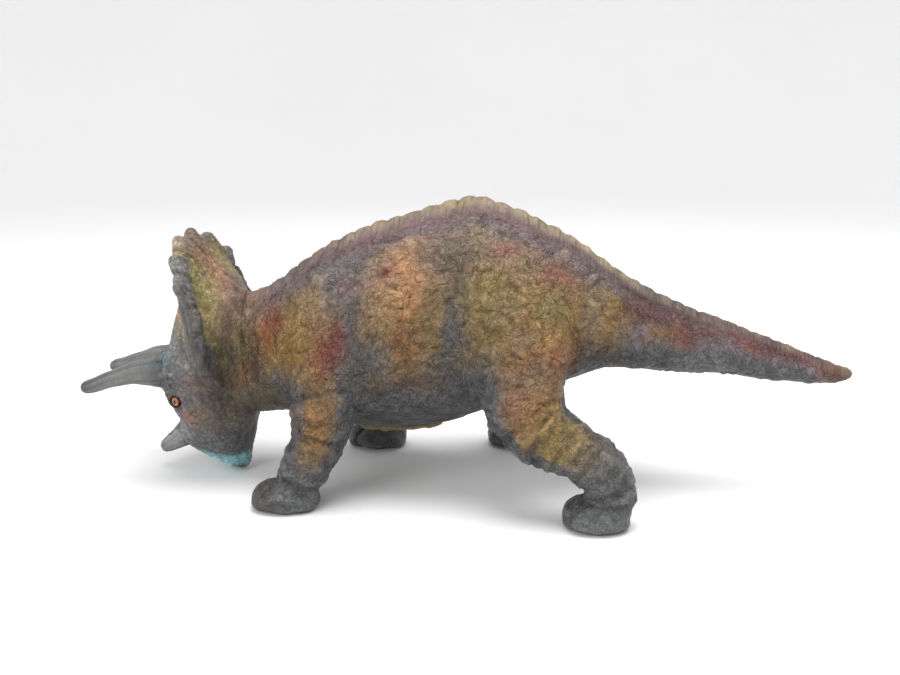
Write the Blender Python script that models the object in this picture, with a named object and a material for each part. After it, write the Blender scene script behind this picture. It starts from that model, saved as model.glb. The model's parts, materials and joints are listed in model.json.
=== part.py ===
"""Horned toy dinosaur in a head-down walking pose: hollow vinyl mouldings, solid horns, fibre filling.

The figure walks towards -X, its left side faces -Y, and its soles stand on Z = 0.
The origin lies on the floor under the middle of the figure.
"""

import math

import bmesh
import bpy
import numpy as np
from mathutils import Matrix, Quaternion, Vector

MM = 0.001
SHARP_ANGLE = 50  # degrees between faces above which an edge shows sharp
BORE_TURN_SHARE = 0.5  # of a side, so that a bore's corners miss those of its plug

# Driving sizes of the whole figure
FIGURE_LENGTH = 460 * MM  # brow horn tips to tail tip
RIDGE_HEIGHT = 174.5 * MM  # floor to the top of the back
TORSO_WIDTH = 122 * MM
FRILL_WIDTH = 130 * MM
SKULL_WIDTH = 69 * MM
FRONT_STANCE = 124 * MM  # between the middles of the front feet
REAR_STANCE = 148 * MM
FRONT_LEG_THICKNESS = 37 * MM
REAR_LEG_THICKNESS = 48 * MM

# Mouldings
SKIN_WALL = 2.4 * MM
SEAM_GAP = 0.3 * MM  # between neighbouring pieces
FILLING_GAP = 0.5 * MM  # between a moulding's inside and its filling
CUT_OVERRUN = 2 * MM  # how far a cutter passes the face that it opens

# Crest along the back
CREST_HEIGHT = 4.5 * MM
CREST_HALF_WIDTH = 7 * MM
CREST_LOBE = 2.6 * MM  # height of a scallop

# Feet
FRONT_FOOT_LENGTH = 38.5 * MM
FRONT_FOOT_WIDTH = 35 * MM
FRONT_FOOT_HEIGHT = 16 * MM
REAR_FOOT_LENGTH = 37.5 * MM
REAR_FOOT_WIDTH = 37 * MM
REAR_FOOT_HEIGHT = 18 * MM
SOLE_ROUNDING = 6 * MM
SOLE_SINK = 1.8 * MM  # how much of the rounding the flat sole cuts away

# Neck joint
NECK_SPIGOT_RADIUS = 19 * MM
NECK_BORE_RADIUS = 16 * MM
NECK_LIP_RADIUS = 22.5 * MM
NECK_LIP_THICKNESS = 2 * MM
HEAD_ROLL = -4  # degrees about the neck, left side of the frill raised

# Plugs of the legs and the tail
PLUG_WALL = 2.2 * MM
PLUG_DEPTH = 9 * MM  # how far a plug reaches into the body
FRONT_PLUG_RADIUS = 9.5 * MM
REAR_PLUG_RADIUS = 12 * MM
TAIL_PLUG_RADIUS = 15 * MM
PLUG_ROOT = 4 * MM  # how far a leg's plug starts outside the torso's side

# Belly closure
CLOSURE_LENGTH = 46 * MM
CLOSURE_WIDTH = 22 * MM
CLOSURE_PLACE_SHARE = -0.08  # of the figure's length
BELLY_RISE = 5 * MM  # how much the belly's skin rises within the closure

# Horns
BROW_HORN_BASE_RADIUS = 11.5 * MM
BROW_PEG_RADIUS = 4.5 * MM
BROW_PEG_DEPTH = 8 * MM
NOSE_HORN_BASE_RADIUS = 8 * MM
NOSE_PEG_RADIUS = 3 * MM
NOSE_PEG_DEPTH = 6 * MM

# Eyes
EYE_RADIUS = 3.5 * MM
EYE_PROUD = 1.3 * MM
EYE_YAW = 62  # degrees outwards from straight ahead

# Frill
FRILL_SWEEP = 10 * MM  # how far its sides trail behind its middle
FRILL_KNOBS = 17
FRILL_KNOB_HEIGHT = 3 * MM

# Stations from the neck seam to the tail seam. Each row: top x, top z, bottom x, bottom z, half width
# and crest, as shares of the figure's length, the ridge height, the torso width and the crest height.
TORSO_SHARES = (
    (-0.284, 0.654, -0.263, 0.229, 0.262, 0.30),
    (-0.264, 0.668, -0.245, 0.238, 0.287, 0.40),
    (-0.239, 0.705, -0.227, 0.241, 0.328, 0.50),
    (-0.212, 0.762, -0.205, 0.232, 0.369, 0.65),
    (-0.171, 0.832, -0.171, 0.212, 0.414, 0.85),
    (-0.118, 0.898, -0.123, 0.195, 0.459, 1.00),
    (-0.066, 0.941, -0.068, 0.188, 0.492, 1.00),
    (-0.014, 0.982, -0.018, 0.210, 0.500, 1.00),
    (0.023, 1.000, 0.025, 0.250, 0.492, 1.00),
    (0.075, 0.955, 0.068, 0.298, 0.459, 1.00),
    (0.116, 0.904, 0.110, 0.341, 0.406, 0.95),
    (0.152, 0.850, 0.145, 0.379, 0.330, 0.85),
    (0.178, 0.803, 0.175, 0.411, 0.266, 0.75),
    (0.197, 0.766, 0.196, 0.422, 0.234, 0.70),
)
TAIL_SHARES = (
    (0.197, 0.766, 0.196, 0.422, 0.234, 0.70),
    (0.229, 0.713, 0.229, 0.419, 0.201, 0.60),
    (0.281, 0.647, 0.281, 0.409, 0.160, 0.50),
    (0.333, 0.596, 0.333, 0.405, 0.127, 0.40),
    (0.384, 0.545, 0.384, 0.395, 0.098, 0.35),
    (0.434, 0.494, 0.434, 0.389, 0.072, 0.30),
    (0.464, 0.462, 0.464, 0.387, 0.055, 0.25),
    (0.488, 0.436, 0.488, 0.393, 0.035, 0.20),
)
TAIL_TIP_SHARES = (0.500, 0.413)

# Pitch of the crest's scallops from the neck to the tail's tip, at places along the figure. Each
# row: place and pitch, both as shares of the figure's length.
LOBE_PITCH_SHARES = (
    (-0.300, 0.0160),
    (-0.283, 0.0161),
    (-0.130, 0.0207),
    (0.000, 0.0250),
    (0.065, 0.0228),
    (0.196, 0.0196),
    (0.348, 0.0163),
    (0.500, 0.0109),
)
LOBE_RINGS = 3  # rings to a scallop
LOBE_END_SHARE = 0.5  # least distance from an end ring to the next, in rings
TAIL_PLUG_HEIGHT_SHARE = 0.585
TAIL_FILL_SHARE = 3  # least half width of the tail that is still hollow, in walls

# Leg stations from the root to the ankle. Each row: x, reach out to the side, height, half thickness
# along and half thickness across, as shares of the figure's length, the half stance, the ridge
# height and, twice, the leg's thickness.
LEG_SHARES = {
    "front_leg_left": (
        (-0.166, 0.62, 0.545, 0.50, 0.40),
        (-0.162, 0.78, 0.430, 0.53, 0.43),
        (-0.159, 0.90, 0.325, 0.51, 0.45),
        (-0.165, 0.97, 0.230, 0.45, 0.42),
        (-0.178, 1.00, 0.150, 0.38, 0.38),
        (-0.191, 1.00, 0.085, 0.34, 0.36),
        (-0.194, 1.00, 0.040, 0.31, 0.34),
    ),
    "front_leg_right": (
        (-0.166, 0.62, 0.545, 0.50, 0.40),
        (-0.162, 0.78, 0.430, 0.53, 0.43),
        (-0.149, 0.90, 0.325, 0.50, 0.44),
        (-0.134, 0.97, 0.230, 0.44, 0.41),
        (-0.123, 1.00, 0.150, 0.39, 0.38),
        (-0.122, 1.00, 0.085, 0.36, 0.36),
        (-0.124, 1.00, 0.040, 0.32, 0.34),
    ),
    "rear_leg_left": (
        (0.094, 0.50, 0.650, 0.52, 0.36),
        (0.089, 0.66, 0.540, 0.54, 0.38),
        (0.086, 0.80, 0.420, 0.50, 0.38),
        (0.102, 0.90, 0.310, 0.43, 0.36),
        (0.146, 0.96, 0.248, 0.335, 0.325),
        (0.179, 1.00, 0.195, 0.315, 0.305),
        (0.194, 1.00, 0.125, 0.300, 0.29),
        (0.191, 1.00, 0.060, 0.285, 0.28),
    ),
    "rear_leg_right": (
        (0.094, 0.50, 0.650, 0.52, 0.36),
        (0.086, 0.66, 0.540, 0.54, 0.38),
        (0.072, 0.80, 0.420, 0.48, 0.37),
        (0.064, 0.89, 0.310, 0.40, 0.34),
        (0.072, 0.95, 0.225, 0.330, 0.32),
        (0.085, 0.98, 0.150, 0.300, 0.30),
        (0.086, 1.00, 0.090, 0.290, 0.29),
        (0.082, 1.00, 0.045, 0.270, 0.28),
    ),
}
FOOT_PLACE_SHARES = {
    "front_leg_left": -0.2075,
    "front_leg_right": -0.1335,
    "rear_leg_left": 0.1800,
    "rear_leg_right": 0.0660,
}
PLUG_PLACE_SHARES = {"front": (-0.164, 0.420), "rear": (0.089, 0.500)}

# Skull stations from the forehead down to the beak. Each row: height, front x, back x, half width,
# as shares of the ridge height, the figure's length twice and the skull width.
SKULL_SHARES = (
    (0.690, -0.3620, -0.3230, 0.14),
    (0.640, -0.3680, -0.3080, 0.31),
    (0.562, -0.3770, -0.2950, 0.43),
    (0.482, -0.3840, -0.2860, 0.485),
    (0.402, -0.3870, -0.2805, 0.500),
    (0.344, -0.3860, -0.2775, 0.485),
    (0.287, -0.3840, -0.2755, 0.450),
    (0.230, -0.3800, -0.2735, 0.400),
    (0.172, -0.3820, -0.2805, 0.330),
    (0.120, -0.3780, -0.2840, 0.270),
    (0.075, -0.3560, -0.2870, 0.205),
    (0.040, -0.3330, -0.2890, 0.140),
    (0.018, -0.3150, -0.2905, 0.085),
)
BEAK_TIP_SHARES = (0.008, -0.2985)
SKULL_POWER_SHARE = 0.86  # 1 is an ellipse, less is fuller

# Neck and frill stations from the neck seam forwards. Each row: middle x, middle height, half height
# above, half height below, half width, lean and sweep, as shares of the figure's length, the ridge
# height three times, the frill width, the slope of the station's plane and the frill's sweep.
FRILL_SHARES = (
    (-0.2900, 0.455, 0.240, 0.215, 0.275, 0.15, 0.0),
    (-0.3050, 0.490, 0.263, 0.220, 0.340, 0.18, 0.2),
    (-0.3195, 0.533, 0.285, 0.236, 0.420, 0.22, 0.6),
    (-0.3300, 0.567, 0.290, 0.250, 0.475, 0.24, 1.0),
    (-0.3440, 0.567, 0.283, 0.246, 0.470, 0.24, 1.0),
    (-0.3470, 0.556, 0.220, 0.206, 0.385, 0.24, 0.7),
    (-0.3530, 0.533, 0.126, 0.138, 0.260, 0.20, 0.3),
)
FRILL_RIM_ROWS = (3, 4)

# Horn stations from the root to the tip. Each row: x, side reach, height, radius, as shares of the
# figure's length, the skull width, the ridge height and the horn's base radius.
BROW_HORN_SHARES = (
    (-0.3580, 0.260, 0.415, 1.00),
    (-0.3760, 0.280, 0.398, 0.98),
    (-0.3960, 0.305, 0.390, 0.75),
    (-0.4200, 0.325, 0.388, 0.62),
    (-0.4460, 0.338, 0.373, 0.49),
    (-0.4700, 0.345, 0.349, 0.42),
    (-0.4900, 0.350, 0.331, 0.35),
)
BROW_TIP_SHARES = (-0.5000, 0.351, 0.324)
BROW_PEG_SHARES = (-0.3800, 0.278, 0.396)
NOSE_HORN_SHARES = (
    (-0.3630, 0.0, 0.150, 1.00),
    (-0.3790, 0.0, 0.124, 0.92),
    (-0.3900, 0.0, 0.104, 0.72),
    (-0.4010, 0.0, 0.085, 0.50),
    (-0.4090, 0.0, 0.073, 0.38),
)
NOSE_TIP_SHARES = (-0.4130, 0.0, 0.068)
NOSE_PEG_SHARES = (-0.3820, 0.0, 0.118)
EYE_PLACE_SHARES = (-0.3695, 0.290)  # along the figure's length and up the ridge height

# Mesh counts
TORSO_SIDES = 20
GUARD_RINGS = 25
FINE_ROWS = 400
TAIL_SIDES = 14
LEG_SIDES = 12
LEG_RINGS = 10
FOOT_RINGS = 7
SKULL_SIDES = 18
FRILL_SIDES = 51
HORN_SIDES = 10
HORN_RINGS = 8
HOLLOW_SIDES = 10
ROUND_SIDES = 16
NECK_SIDES = 48  # enough that the facets pass each other within the seam gap
EYE_SIDES = 12

materials = {}


def clear_scene():
    for old in list(bpy.data.objects):
        bpy.data.objects.remove(old, do_unlink=True)


def paint(name, colour, roughness):
    """One painted vinyl or fibre finish, made once and shared by name."""
    if name not in materials:
        made = bpy.data.materials.new(name)
        made.use_nodes = True
        shader = made.node_tree.nodes["Principled BSDF"]
        shader.inputs["Base Color"].default_value = (*colour, 1)
        shader.inputs["Roughness"].default_value = roughness
        shader.inputs["Metallic"].default_value = 0
        made.diffuse_color = (*colour, 1)
        materials[name] = made
    return materials[name]


def place(x_share, side, z_share):
    """A point from shares of length and height, and a real sideways distance."""
    return np.array((x_share * FIGURE_LENGTH, side, z_share * RIDGE_HEIGHT))


def smooth_rows(rows, count):
    """Rows read evenly by arc length from a Catmull-Rom curve through the given rows."""
    rows = np.asarray(rows, float)
    padded = np.vstack((2 * rows[0] - rows[1], rows, 2 * rows[-1] - rows[-2]))
    steps = np.linalg.norm(np.diff(rows[:, :3], axis=0), axis=1)
    knots = np.concatenate(((0,), np.cumsum(steps)))
    wanted = np.linspace(0, knots[-1], count)
    spans = np.clip(np.searchsorted(knots, wanted, side="right") - 1, 0, len(steps) - 1)
    t = ((wanted - knots[spans]) / steps[spans])[:, None]
    before, start, end, after = (padded[spans + shift] for shift in range(4))
    return 0.5 * (
        2 * start
        + (end - before) * t
        + (2 * before - 5 * start + 4 * end - after) * t**2
        + (3 * start - before - 3 * end + after) * t**3
    )


def loft(name, rings, first_pole=None, last_pole=None):
    """A closed mesh skinned over rings of points, ended by fans to the poles or the rings' middles."""
    rings = np.asarray(rings, float)
    count, sides = rings.shape[:2]
    poles = [
        rings[0].mean(axis=0) if first_pole is None else first_pole,
        rings[-1].mean(axis=0) if last_pole is None else last_pole,
    ]
    verts = np.vstack((rings.reshape(-1, 3), poles))
    faces = []
    for ring in range(count - 1):
        for side in range(sides):
            after = (side + 1) % sides
            near, far = ring * sides, (ring + 1) * sides
            faces.append((near + side, near + after, far + after))
            faces.append((near + side, far + after, far + side))
    first, last = count * sides, count * sides + 1
    end = (count - 1) * sides
    for side in range(sides):
        after = (side + 1) % sides
        faces.append((first, after, side))
        faces.append((last, end + side, end + after))
    return solid(name, verts, faces)


def solid(name, verts, faces):
    mesh = bpy.data.meshes.new(name)
    mesh.from_pydata([tuple(vert) for vert in verts], [], faces)
    shaped = bmesh.new()
    shaped.from_mesh(mesh)
    bmesh.ops.recalc_face_normals(shaped, faces=shaped.faces)
    shaped.to_mesh(mesh)
    shaped.free()
    mesh.shade_smooth()
    mesh.set_sharp_from_angle(angle=math.radians(SHARP_ANGLE))
    made = bpy.data.objects.new(name, mesh)
    bpy.context.scene.collection.objects.link(made)
    return made


def rod(name, start, end, radius, sides=ROUND_SIDES, turned_share=0):
    """A round bar between two points, turned about its axis by a share of one side."""
    start, end = Vector(start), Vector(end)
    axis = (end - start).normalized()
    across = axis.orthogonal().normalized()
    up = axis.cross(across)
    turn = math.tau / sides * (np.arange(sides) + turned_share)
    circle = radius * (np.outer(np.cos(turn), across) + np.outer(np.sin(turn), up))
    return loft(name, (np.array(start) + circle, np.array(end) + circle))


def helper(guide):
    """Marks a cutter or guide, which is no piece of the figure."""
    guide.hide_render = True
    guide.display_type = "WIRE"
    return guide


def combine(target, operation, others):
    for other in others:
        modifier = target.modifiers.new(f"{operation.lower()}_{other.name}", "BOOLEAN")
        modifier.operation = operation
        modifier.solver = "EXACT"
        modifier.object = helper(other)
    return target


def cut(target, *others):
    return combine(target, "DIFFERENCE", others)


def join(target, *others):
    return combine(target, "UNION", others)


def finish(piece, name, colour, roughness):
    piece.name = name
    piece.data.materials.append(paint(name + "_finish", colour, roughness))
    return piece


def trunk_rings(rows, inset, sides, lobes, crowding_share=0.55):
    """Egg-shaped rings of the torso and tail, their points closer together near the crest on top."""
    from_top = np.linspace(0, math.tau, sides, endpoint=False)
    egg_share = 0.14
    turn = from_top - crowding_share * np.sin(from_top) + math.pi / 2
    rings = []
    for top_x, top_z, bottom_x, bottom_z, half_width, crest in rows:
        top = np.array((top_x, 0, top_z))
        bottom = np.array((bottom_x, 0, bottom_z))
        upright = (top - bottom) / np.linalg.norm(top - bottom)
        half_up = 0.5 * (np.linalg.norm(top - bottom) - crest) - inset
        middle = 0.5 * (top + bottom) - 0.5 * crest * upright
        across = (half_width - inset) * np.cos(turn) * (1 - egg_share * np.sin(turn))
        height = half_up * np.sin(turn)
        if lobes:
            valley = 1 - abs(math.sin(math.pi * lobe_phase(top_x)))
            notch = crest / CREST_HEIGHT * CREST_LOBE * valley
            on_crest = np.exp(-((across / CREST_HALF_WIDTH) ** 2)) * (np.sin(turn) > 0)
            height = height + (crest - notch) * on_crest
        rings.append(middle + np.outer(height, upright) + np.outer(across, (0, 1, 0)))
    return rings


def trunk_rows(shares, count):
    sizes = (FIGURE_LENGTH, RIDGE_HEIGHT, FIGURE_LENGTH, RIDGE_HEIGHT, TORSO_WIDTH, CREST_HEIGHT)
    return smooth_rows(np.array(shares) * sizes, count)


def lobe_phase(x):
    """The crest's scallops counted from the neck to x, each as long as the pitch is there."""
    shares = np.array(LOBE_PITCH_SHARES)
    places = np.linspace(shares[0, 0], shares[-1, 0], FINE_ROWS)
    pitches = np.interp(places, shares[:, 0], shares[:, 1])
    counted = np.concatenate(((0,), np.cumsum(np.diff(places) / pitches[:-1])))
    return np.interp(x, places * FIGURE_LENGTH, counted)


def lobe_rows(shares):
    """Rows at every valley of the crest and at even steps between, and at both ends."""
    fine = trunk_rows(shares, FINE_ROWS)
    phase = lobe_phase(fine[:, 0])
    first, last = phase[[0, -1]] * LOBE_RINGS
    steps = np.arange(math.ceil(first + LOBE_END_SHARE), last - LOBE_END_SHARE)
    wanted = np.concatenate(((first,), steps, (last,))) / LOBE_RINGS
    return np.stack([np.interp(wanted, phase, column) for column in fine.T], axis=-1)


def outer_torso(name, inset=0):
    """The torso with its scalloped crest."""
    return torso_form(name, inset, True, TORSO_SIDES)


def torso_form(name, inset, lobes=False, sides=HOLLOW_SIDES, count=len(TORSO_SHARES)):
    """The torso's outside, drawn in by the inset on every side, also at the two seams."""
    rows = lobe_rows(TORSO_SHARES) if lobes else trunk_rows(TORSO_SHARES, count)
    seam_to_seam = rows[:, 0].copy()
    rows[0, [0, 2]] += inset
    rows[-1, [0, 2]] -= inset
    keep = (seam_to_seam > rows[0, 0]) & (seam_to_seam < rows[-1, 0])
    keep[[0, -1]] = True
    return loft(name, trunk_rings(rows[keep], inset, sides, lobes))


def torso_guard(name, gap):
    """The torso swollen by a gap, which cuts a leg's root back."""
    return torso_form(name, -gap, sides=TORSO_SIDES, count=GUARD_RINGS)


def neck_frame():
    """Middle of the neck seam and the neck's axis, pointing from the body to the head."""
    top = place(TORSO_SHARES[0][0], 0, TORSO_SHARES[0][1])
    bottom = place(TORSO_SHARES[0][2], 0, TORSO_SHARES[0][3])
    upright = (top - bottom) / np.linalg.norm(top - bottom)
    return 0.5 * (top + bottom), np.array((-upright[2], 0, upright[0]))


def neck_rod(name, start, end, radius, turned_share=0):
    """A round bar on the neck's axis between two distances ahead of the seam."""
    middle, axis = neck_frame()
    return rod(name, middle + start * axis, middle + end * axis, radius, NECK_SIDES, turned_share)


def closure_cutter(name, inset):
    """Upright oval bar through the belly skin."""
    lowest = RIDGE_HEIGHT * min(row[3] for row in TORSO_SHARES)
    turn = np.linspace(0, math.tau, ROUND_SIDES, endpoint=False)
    x = CLOSURE_PLACE_SHARE * FIGURE_LENGTH + (CLOSURE_LENGTH / 2 - inset) * np.cos(turn)
    y = (CLOSURE_WIDTH / 2 - inset) * np.sin(turn)
    levels = (lowest - CUT_OVERRUN, lowest + SKIN_WALL + BELLY_RISE)
    return loft(name, [np.stack((x, y, np.full(ROUND_SIDES, level)), axis=-1) for level in levels])


def leg_kind(name):
    return name.split("_")[0]


def leg_side(name):
    return -1 if name.endswith("left") else 1


def plug_axis(name, farther):
    """The plug's outer end in the leg and its inner end in the body, on a line across the figure."""
    kind, side = leg_kind(name), leg_side(name)
    x_share, z_share = PLUG_PLACE_SHARES[kind]
    stations, _, _, _, widths, _ = np.array(TORSO_SHARES).T
    width_share = np.interp(x_share, stations, widths)
    inner = width_share * TORSO_WIDTH - SKIN_WALL - PLUG_DEPTH
    root = width_share * TORSO_WIDTH + PLUG_ROOT + farther
    return place(x_share, side * root, z_share), place(x_share, side * inner, z_share)


def plug_radius(name):
    return {"front": FRONT_PLUG_RADIUS, "rear": REAR_PLUG_RADIUS}[leg_kind(name)]


def plug_rod(name, leg, radius, deeper=0, farther=0, turned_share=0):
    outer, inner = plug_axis(leg, farther)
    inner = inner - np.array((0, leg_side(leg) * deeper, 0))
    return rod(name, outer, inner, radius, turned_share=turned_share)


def plug_bore(leg):
    """The plug's inside, from past its inner end into the leg's hollow."""
    radius = plug_radius(leg) - PLUG_WALL
    return plug_rod(leg + "_bore", leg, radius, CUT_OVERRUN, CUT_OVERRUN, BORE_TURN_SHARE)


def torso_skin():
    skin = outer_torso("torso_skin")
    cut(
        skin,
        torso_form("torso_hollow", SKIN_WALL),
        neck_rod("neck_hole", CUT_OVERRUN, -SKIN_WALL - CUT_OVERRUN, NECK_SPIGOT_RADIUS + SEAM_GAP),
        rod(
            "tail_hole",
            *tail_plug_line(-SKIN_WALL - CUT_OVERRUN, CUT_OVERRUN),
            TAIL_PLUG_RADIUS + SEAM_GAP,
        ),
        closure_cutter("closure_hole", 0),
    )
    for leg in LEG_SHARES:
        cut(skin, plug_rod(leg + "_hole", leg, plug_radius(leg) + SEAM_GAP))
    return finish(skin, "torso_skin", (0.33, 0.24, 0.12), 0.5)


def torso_filling():
    filling = torso_form("torso_filling", SKIN_WALL + FILLING_GAP)
    lip_end = SKIN_WALL + 2 * SEAM_GAP + NECK_LIP_THICKNESS
    cut(
        filling,
        neck_rod("neck_room", CUT_OVERRUN, -lip_end - SEAM_GAP, NECK_LIP_RADIUS + SEAM_GAP),
        rod(
            "tail_room",
            *tail_plug_line(-PLUG_DEPTH - SEAM_GAP, CUT_OVERRUN),
            TAIL_PLUG_RADIUS + SEAM_GAP,
        ),
    )
    for leg in LEG_SHARES:
        cut(filling, plug_rod(leg + "_room", leg, plug_radius(leg) + SEAM_GAP, SEAM_GAP))
    return finish(filling, "torso_filling", (0.86, 0.84, 0.80), 0.95)


def belly_plug():
    closure = closure_cutter("belly_plug", SEAM_GAP)
    combine(closure, "INTERSECT", [outer_torso("closure_outside")])
    cut(closure, torso_form("closure_inside", SKIN_WALL))
    return finish(closure, "belly_plug", (0.34, 0.25, 0.15), 0.6)


def tail_plug_line(start, end):
    """Two points on the tail plug's axis, measured along X from the tail seam."""
    seam = place(TAIL_SHARES[0][0], 0, TAIL_PLUG_HEIGHT_SHARE)
    return seam + (start, 0, 0), seam + (end, 0, 0)


def tail_form(name, inset, lobes=False, sides=HOLLOW_SIDES, count=len(TAIL_SHARES), start=0):
    """The tail's outside, drawn in by the inset, and stopped where the inset leaves too little."""
    rows = lobe_rows(TAIL_SHARES) if lobes else trunk_rows(TAIL_SHARES, count)
    rows[0, [0, 2]] += start
    tip = place(TAIL_TIP_SHARES[0], 0, TAIL_TIP_SHARES[1])
    if inset > 0:
        rows = rows[rows[:, 4] > TAIL_FILL_SHARE * inset]
        tip = None
    return loft(name, trunk_rings(rows, inset, sides, lobes), last_pole=tip)


def tail_skin():
    skin = tail_form("tail_skin", 0, True, TAIL_SIDES, start=SEAM_GAP)
    root = SEAM_GAP + SKIN_WALL
    join(skin, rod("tail_spigot", *tail_plug_line(-PLUG_DEPTH, root - SKIN_WALL / 2), TAIL_PLUG_RADIUS))
    cut(
        skin,
        tail_form("tail_hollow", SKIN_WALL, start=root),
        rod(
            "tail_bore",
            *tail_plug_line(-PLUG_DEPTH - CUT_OVERRUN, root + CUT_OVERRUN),
            TAIL_PLUG_RADIUS - PLUG_WALL,
            turned_share=BORE_TURN_SHARE,
        ),
    )
    return finish(skin, "tail_skin", (0.24, 0.12, 0.11), 0.5)


def tail_filling():
    start = SEAM_GAP + SKIN_WALL + FILLING_GAP
    filling = tail_form("tail_filling", SKIN_WALL + FILLING_GAP, start=start)
    reach = SKIN_WALL + CUT_OVERRUN
    stem_radius = TAIL_PLUG_RADIUS - PLUG_WALL - SEAM_GAP
    join(filling, rod("tail_filling_stem", *tail_plug_line(-PLUG_DEPTH, reach), stem_radius))
    return finish(filling, "tail_filling", (0.86, 0.84, 0.80), 0.95)


def leg_rings(leg, inset):
    """Ovals square to the leg's path, from inside the body to the ankle."""
    kind, side = leg_kind(leg), leg_side(leg)
    stance = {"front": FRONT_STANCE, "rear": REAR_STANCE}[kind]
    thickness = {"front": FRONT_LEG_THICKNESS, "rear": REAR_LEG_THICKNESS}[kind]
    sizes = (FIGURE_LENGTH, side * stance / 2, RIDGE_HEIGHT, thickness, thickness)
    rows = np.array(LEG_SHARES[leg]) * sizes
    rows = smooth_rows(rows, LEG_RINGS)
    path, along_half, across_half = rows[:, :3], rows[:, 3] - inset, rows[:, 4] - inset
    tangent = np.gradient(path, axis=0)
    tangent /= np.linalg.norm(tangent, axis=1)[:, None]
    path[0] += inset * tangent[0]
    across = np.array((0, 1, 0)) - tangent * tangent[:, 1:2]
    across /= np.linalg.norm(across, axis=1)[:, None]
    along = np.cross(across, tangent)
    turn = np.linspace(0, math.tau, LEG_SIDES, endpoint=False)[None, :, None]
    return (
        path[:, None]
        + along_half[:, None, None] * np.cos(turn) * along[:, None]
        + across_half[:, None, None] * np.sin(turn) * across[:, None]
    )


def foot_rings(leg, inset):
    """Slipper-shaped foot: round in plan, domed above and flat below, toes towards -X."""
    kind, side = leg_kind(leg), leg_side(leg)
    length, width, height, stance = {
        "front": (FRONT_FOOT_LENGTH, FRONT_FOOT_WIDTH, FRONT_FOOT_HEIGHT, FRONT_STANCE),
        "rear": (REAR_FOOT_LENGTH, REAR_FOOT_WIDTH, REAR_FOOT_HEIGHT, REAR_STANCE),
    }[kind]
    middle = place(FOOT_PLACE_SHARES[leg], side * stance / 2, 0)
    end_share = 0.06
    along = np.cos(np.pi * np.linspace(end_share, 1 - end_share, FOOT_RINGS))
    plan_power_share, roof_power_share = 2.6, 2.4
    plan = (1 - abs(along) ** plan_power_share) ** (1 / plan_power_share)
    roof = (1 - abs(along) ** roof_power_share) ** (1 / roof_power_share)
    turn = np.linspace(0, math.tau, LEG_SIDES, endpoint=False)
    waist = SOLE_ROUNDING
    half_width = (width / 2 - inset) * plan
    top = (height - waist - inset) * roof
    bottom = (waist + SOLE_SINK - inset) * roof**0.5
    x = middle[0] + (length / 2 - inset) * along
    y = middle[1] + half_width[:, None] * np.cos(turn)
    z = waist + np.where(np.sin(turn) > 0, top[:, None], bottom[:, None]) * np.sin(turn)
    z = np.maximum(z, inset)
    return np.stack((np.broadcast_to(x[:, None], y.shape), y, z), axis=-1)


def leg_form(name, leg, inset, guard):
    """Leg and foot joined, cut back from the torso's outside by the guard distance."""
    form = loft(name, leg_rings(leg, inset))
    join(form, loft(name + "_foot", foot_rings(leg, inset)))
    return cut(form, guard)


def leg_skin(leg, guard, inner_guard):
    skin = leg_form(leg, leg, 0, guard)
    join(skin, plug_rod(leg + "_spigot", leg, plug_radius(leg)))
    cut(skin, leg_form(leg + "_hollow", leg, SKIN_WALL, inner_guard), plug_bore(leg))
    return finish(skin, leg, (0.30, 0.24, 0.14), 0.55)


def leg_filling(leg, deep_guard):
    filling = leg_form(leg + "_filling", leg, SKIN_WALL + FILLING_GAP, deep_guard)
    join(filling, plug_rod(leg + "_stem", leg, plug_radius(leg) - PLUG_WALL - SEAM_GAP))
    return finish(filling, leg + "_filling", (0.86, 0.84, 0.80), 0.95)


def skull_form(name, inset, sides=SKULL_SIDES):
    """Level ovals from the forehead down to the beak, fuller than an ellipse at the cheeks."""
    turn = np.linspace(0, math.tau, sides, endpoint=False)
    cosine, sine = np.cos(turn), np.sin(turn)
    rings = []
    for z_share, front_share, back_share, half_share in SKULL_SHARES:
        front, back = front_share * FIGURE_LENGTH, back_share * FIGURE_LENGTH
        half_length = (back - front) / 2 - inset
        half_width = half_share * SKULL_WIDTH - inset
        if min(half_length, half_width) <= inset:
            continue
        x = (front + back) / 2 + half_length * np.sign(cosine) * abs(cosine) ** SKULL_POWER_SHARE
        y = half_width * np.sign(sine) * abs(sine) ** SKULL_POWER_SHARE
        rings.append(np.stack((x, y, np.full(sides, z_share * RIDGE_HEIGHT)), axis=-1))
    tip = None if inset > 0 else place(BEAK_TIP_SHARES[1], 0, BEAK_TIP_SHARES[0])
    return loft(name, rings, last_pole=tip)


def face_reach(x_share, z_share):
    """Half width of the skull at a place along it and a height."""
    heights, fronts, backs, halves = np.array(SKULL_SHARES[::-1]).T
    front, back = np.interp(z_share, heights, fronts), np.interp(z_share, heights, backs)
    along = abs(2 * x_share - front - back) / (back - front)
    fullness = (1 - along ** (2 / SKULL_POWER_SHARE)) ** (SKULL_POWER_SHARE / 2)
    return SKULL_WIDTH * np.interp(z_share, heights, halves) * fullness


def neck_seam_ring(sides, inset, forwards):
    """The ring of the neck seam, seen from the head, a distance in front of the body's end."""
    rows = trunk_rows(TORSO_SHARES, len(TORSO_SHARES))[:1]
    _, axis = neck_frame()
    return trunk_rings(rows, inset, sides, True, 0)[0] + forwards * axis


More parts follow.
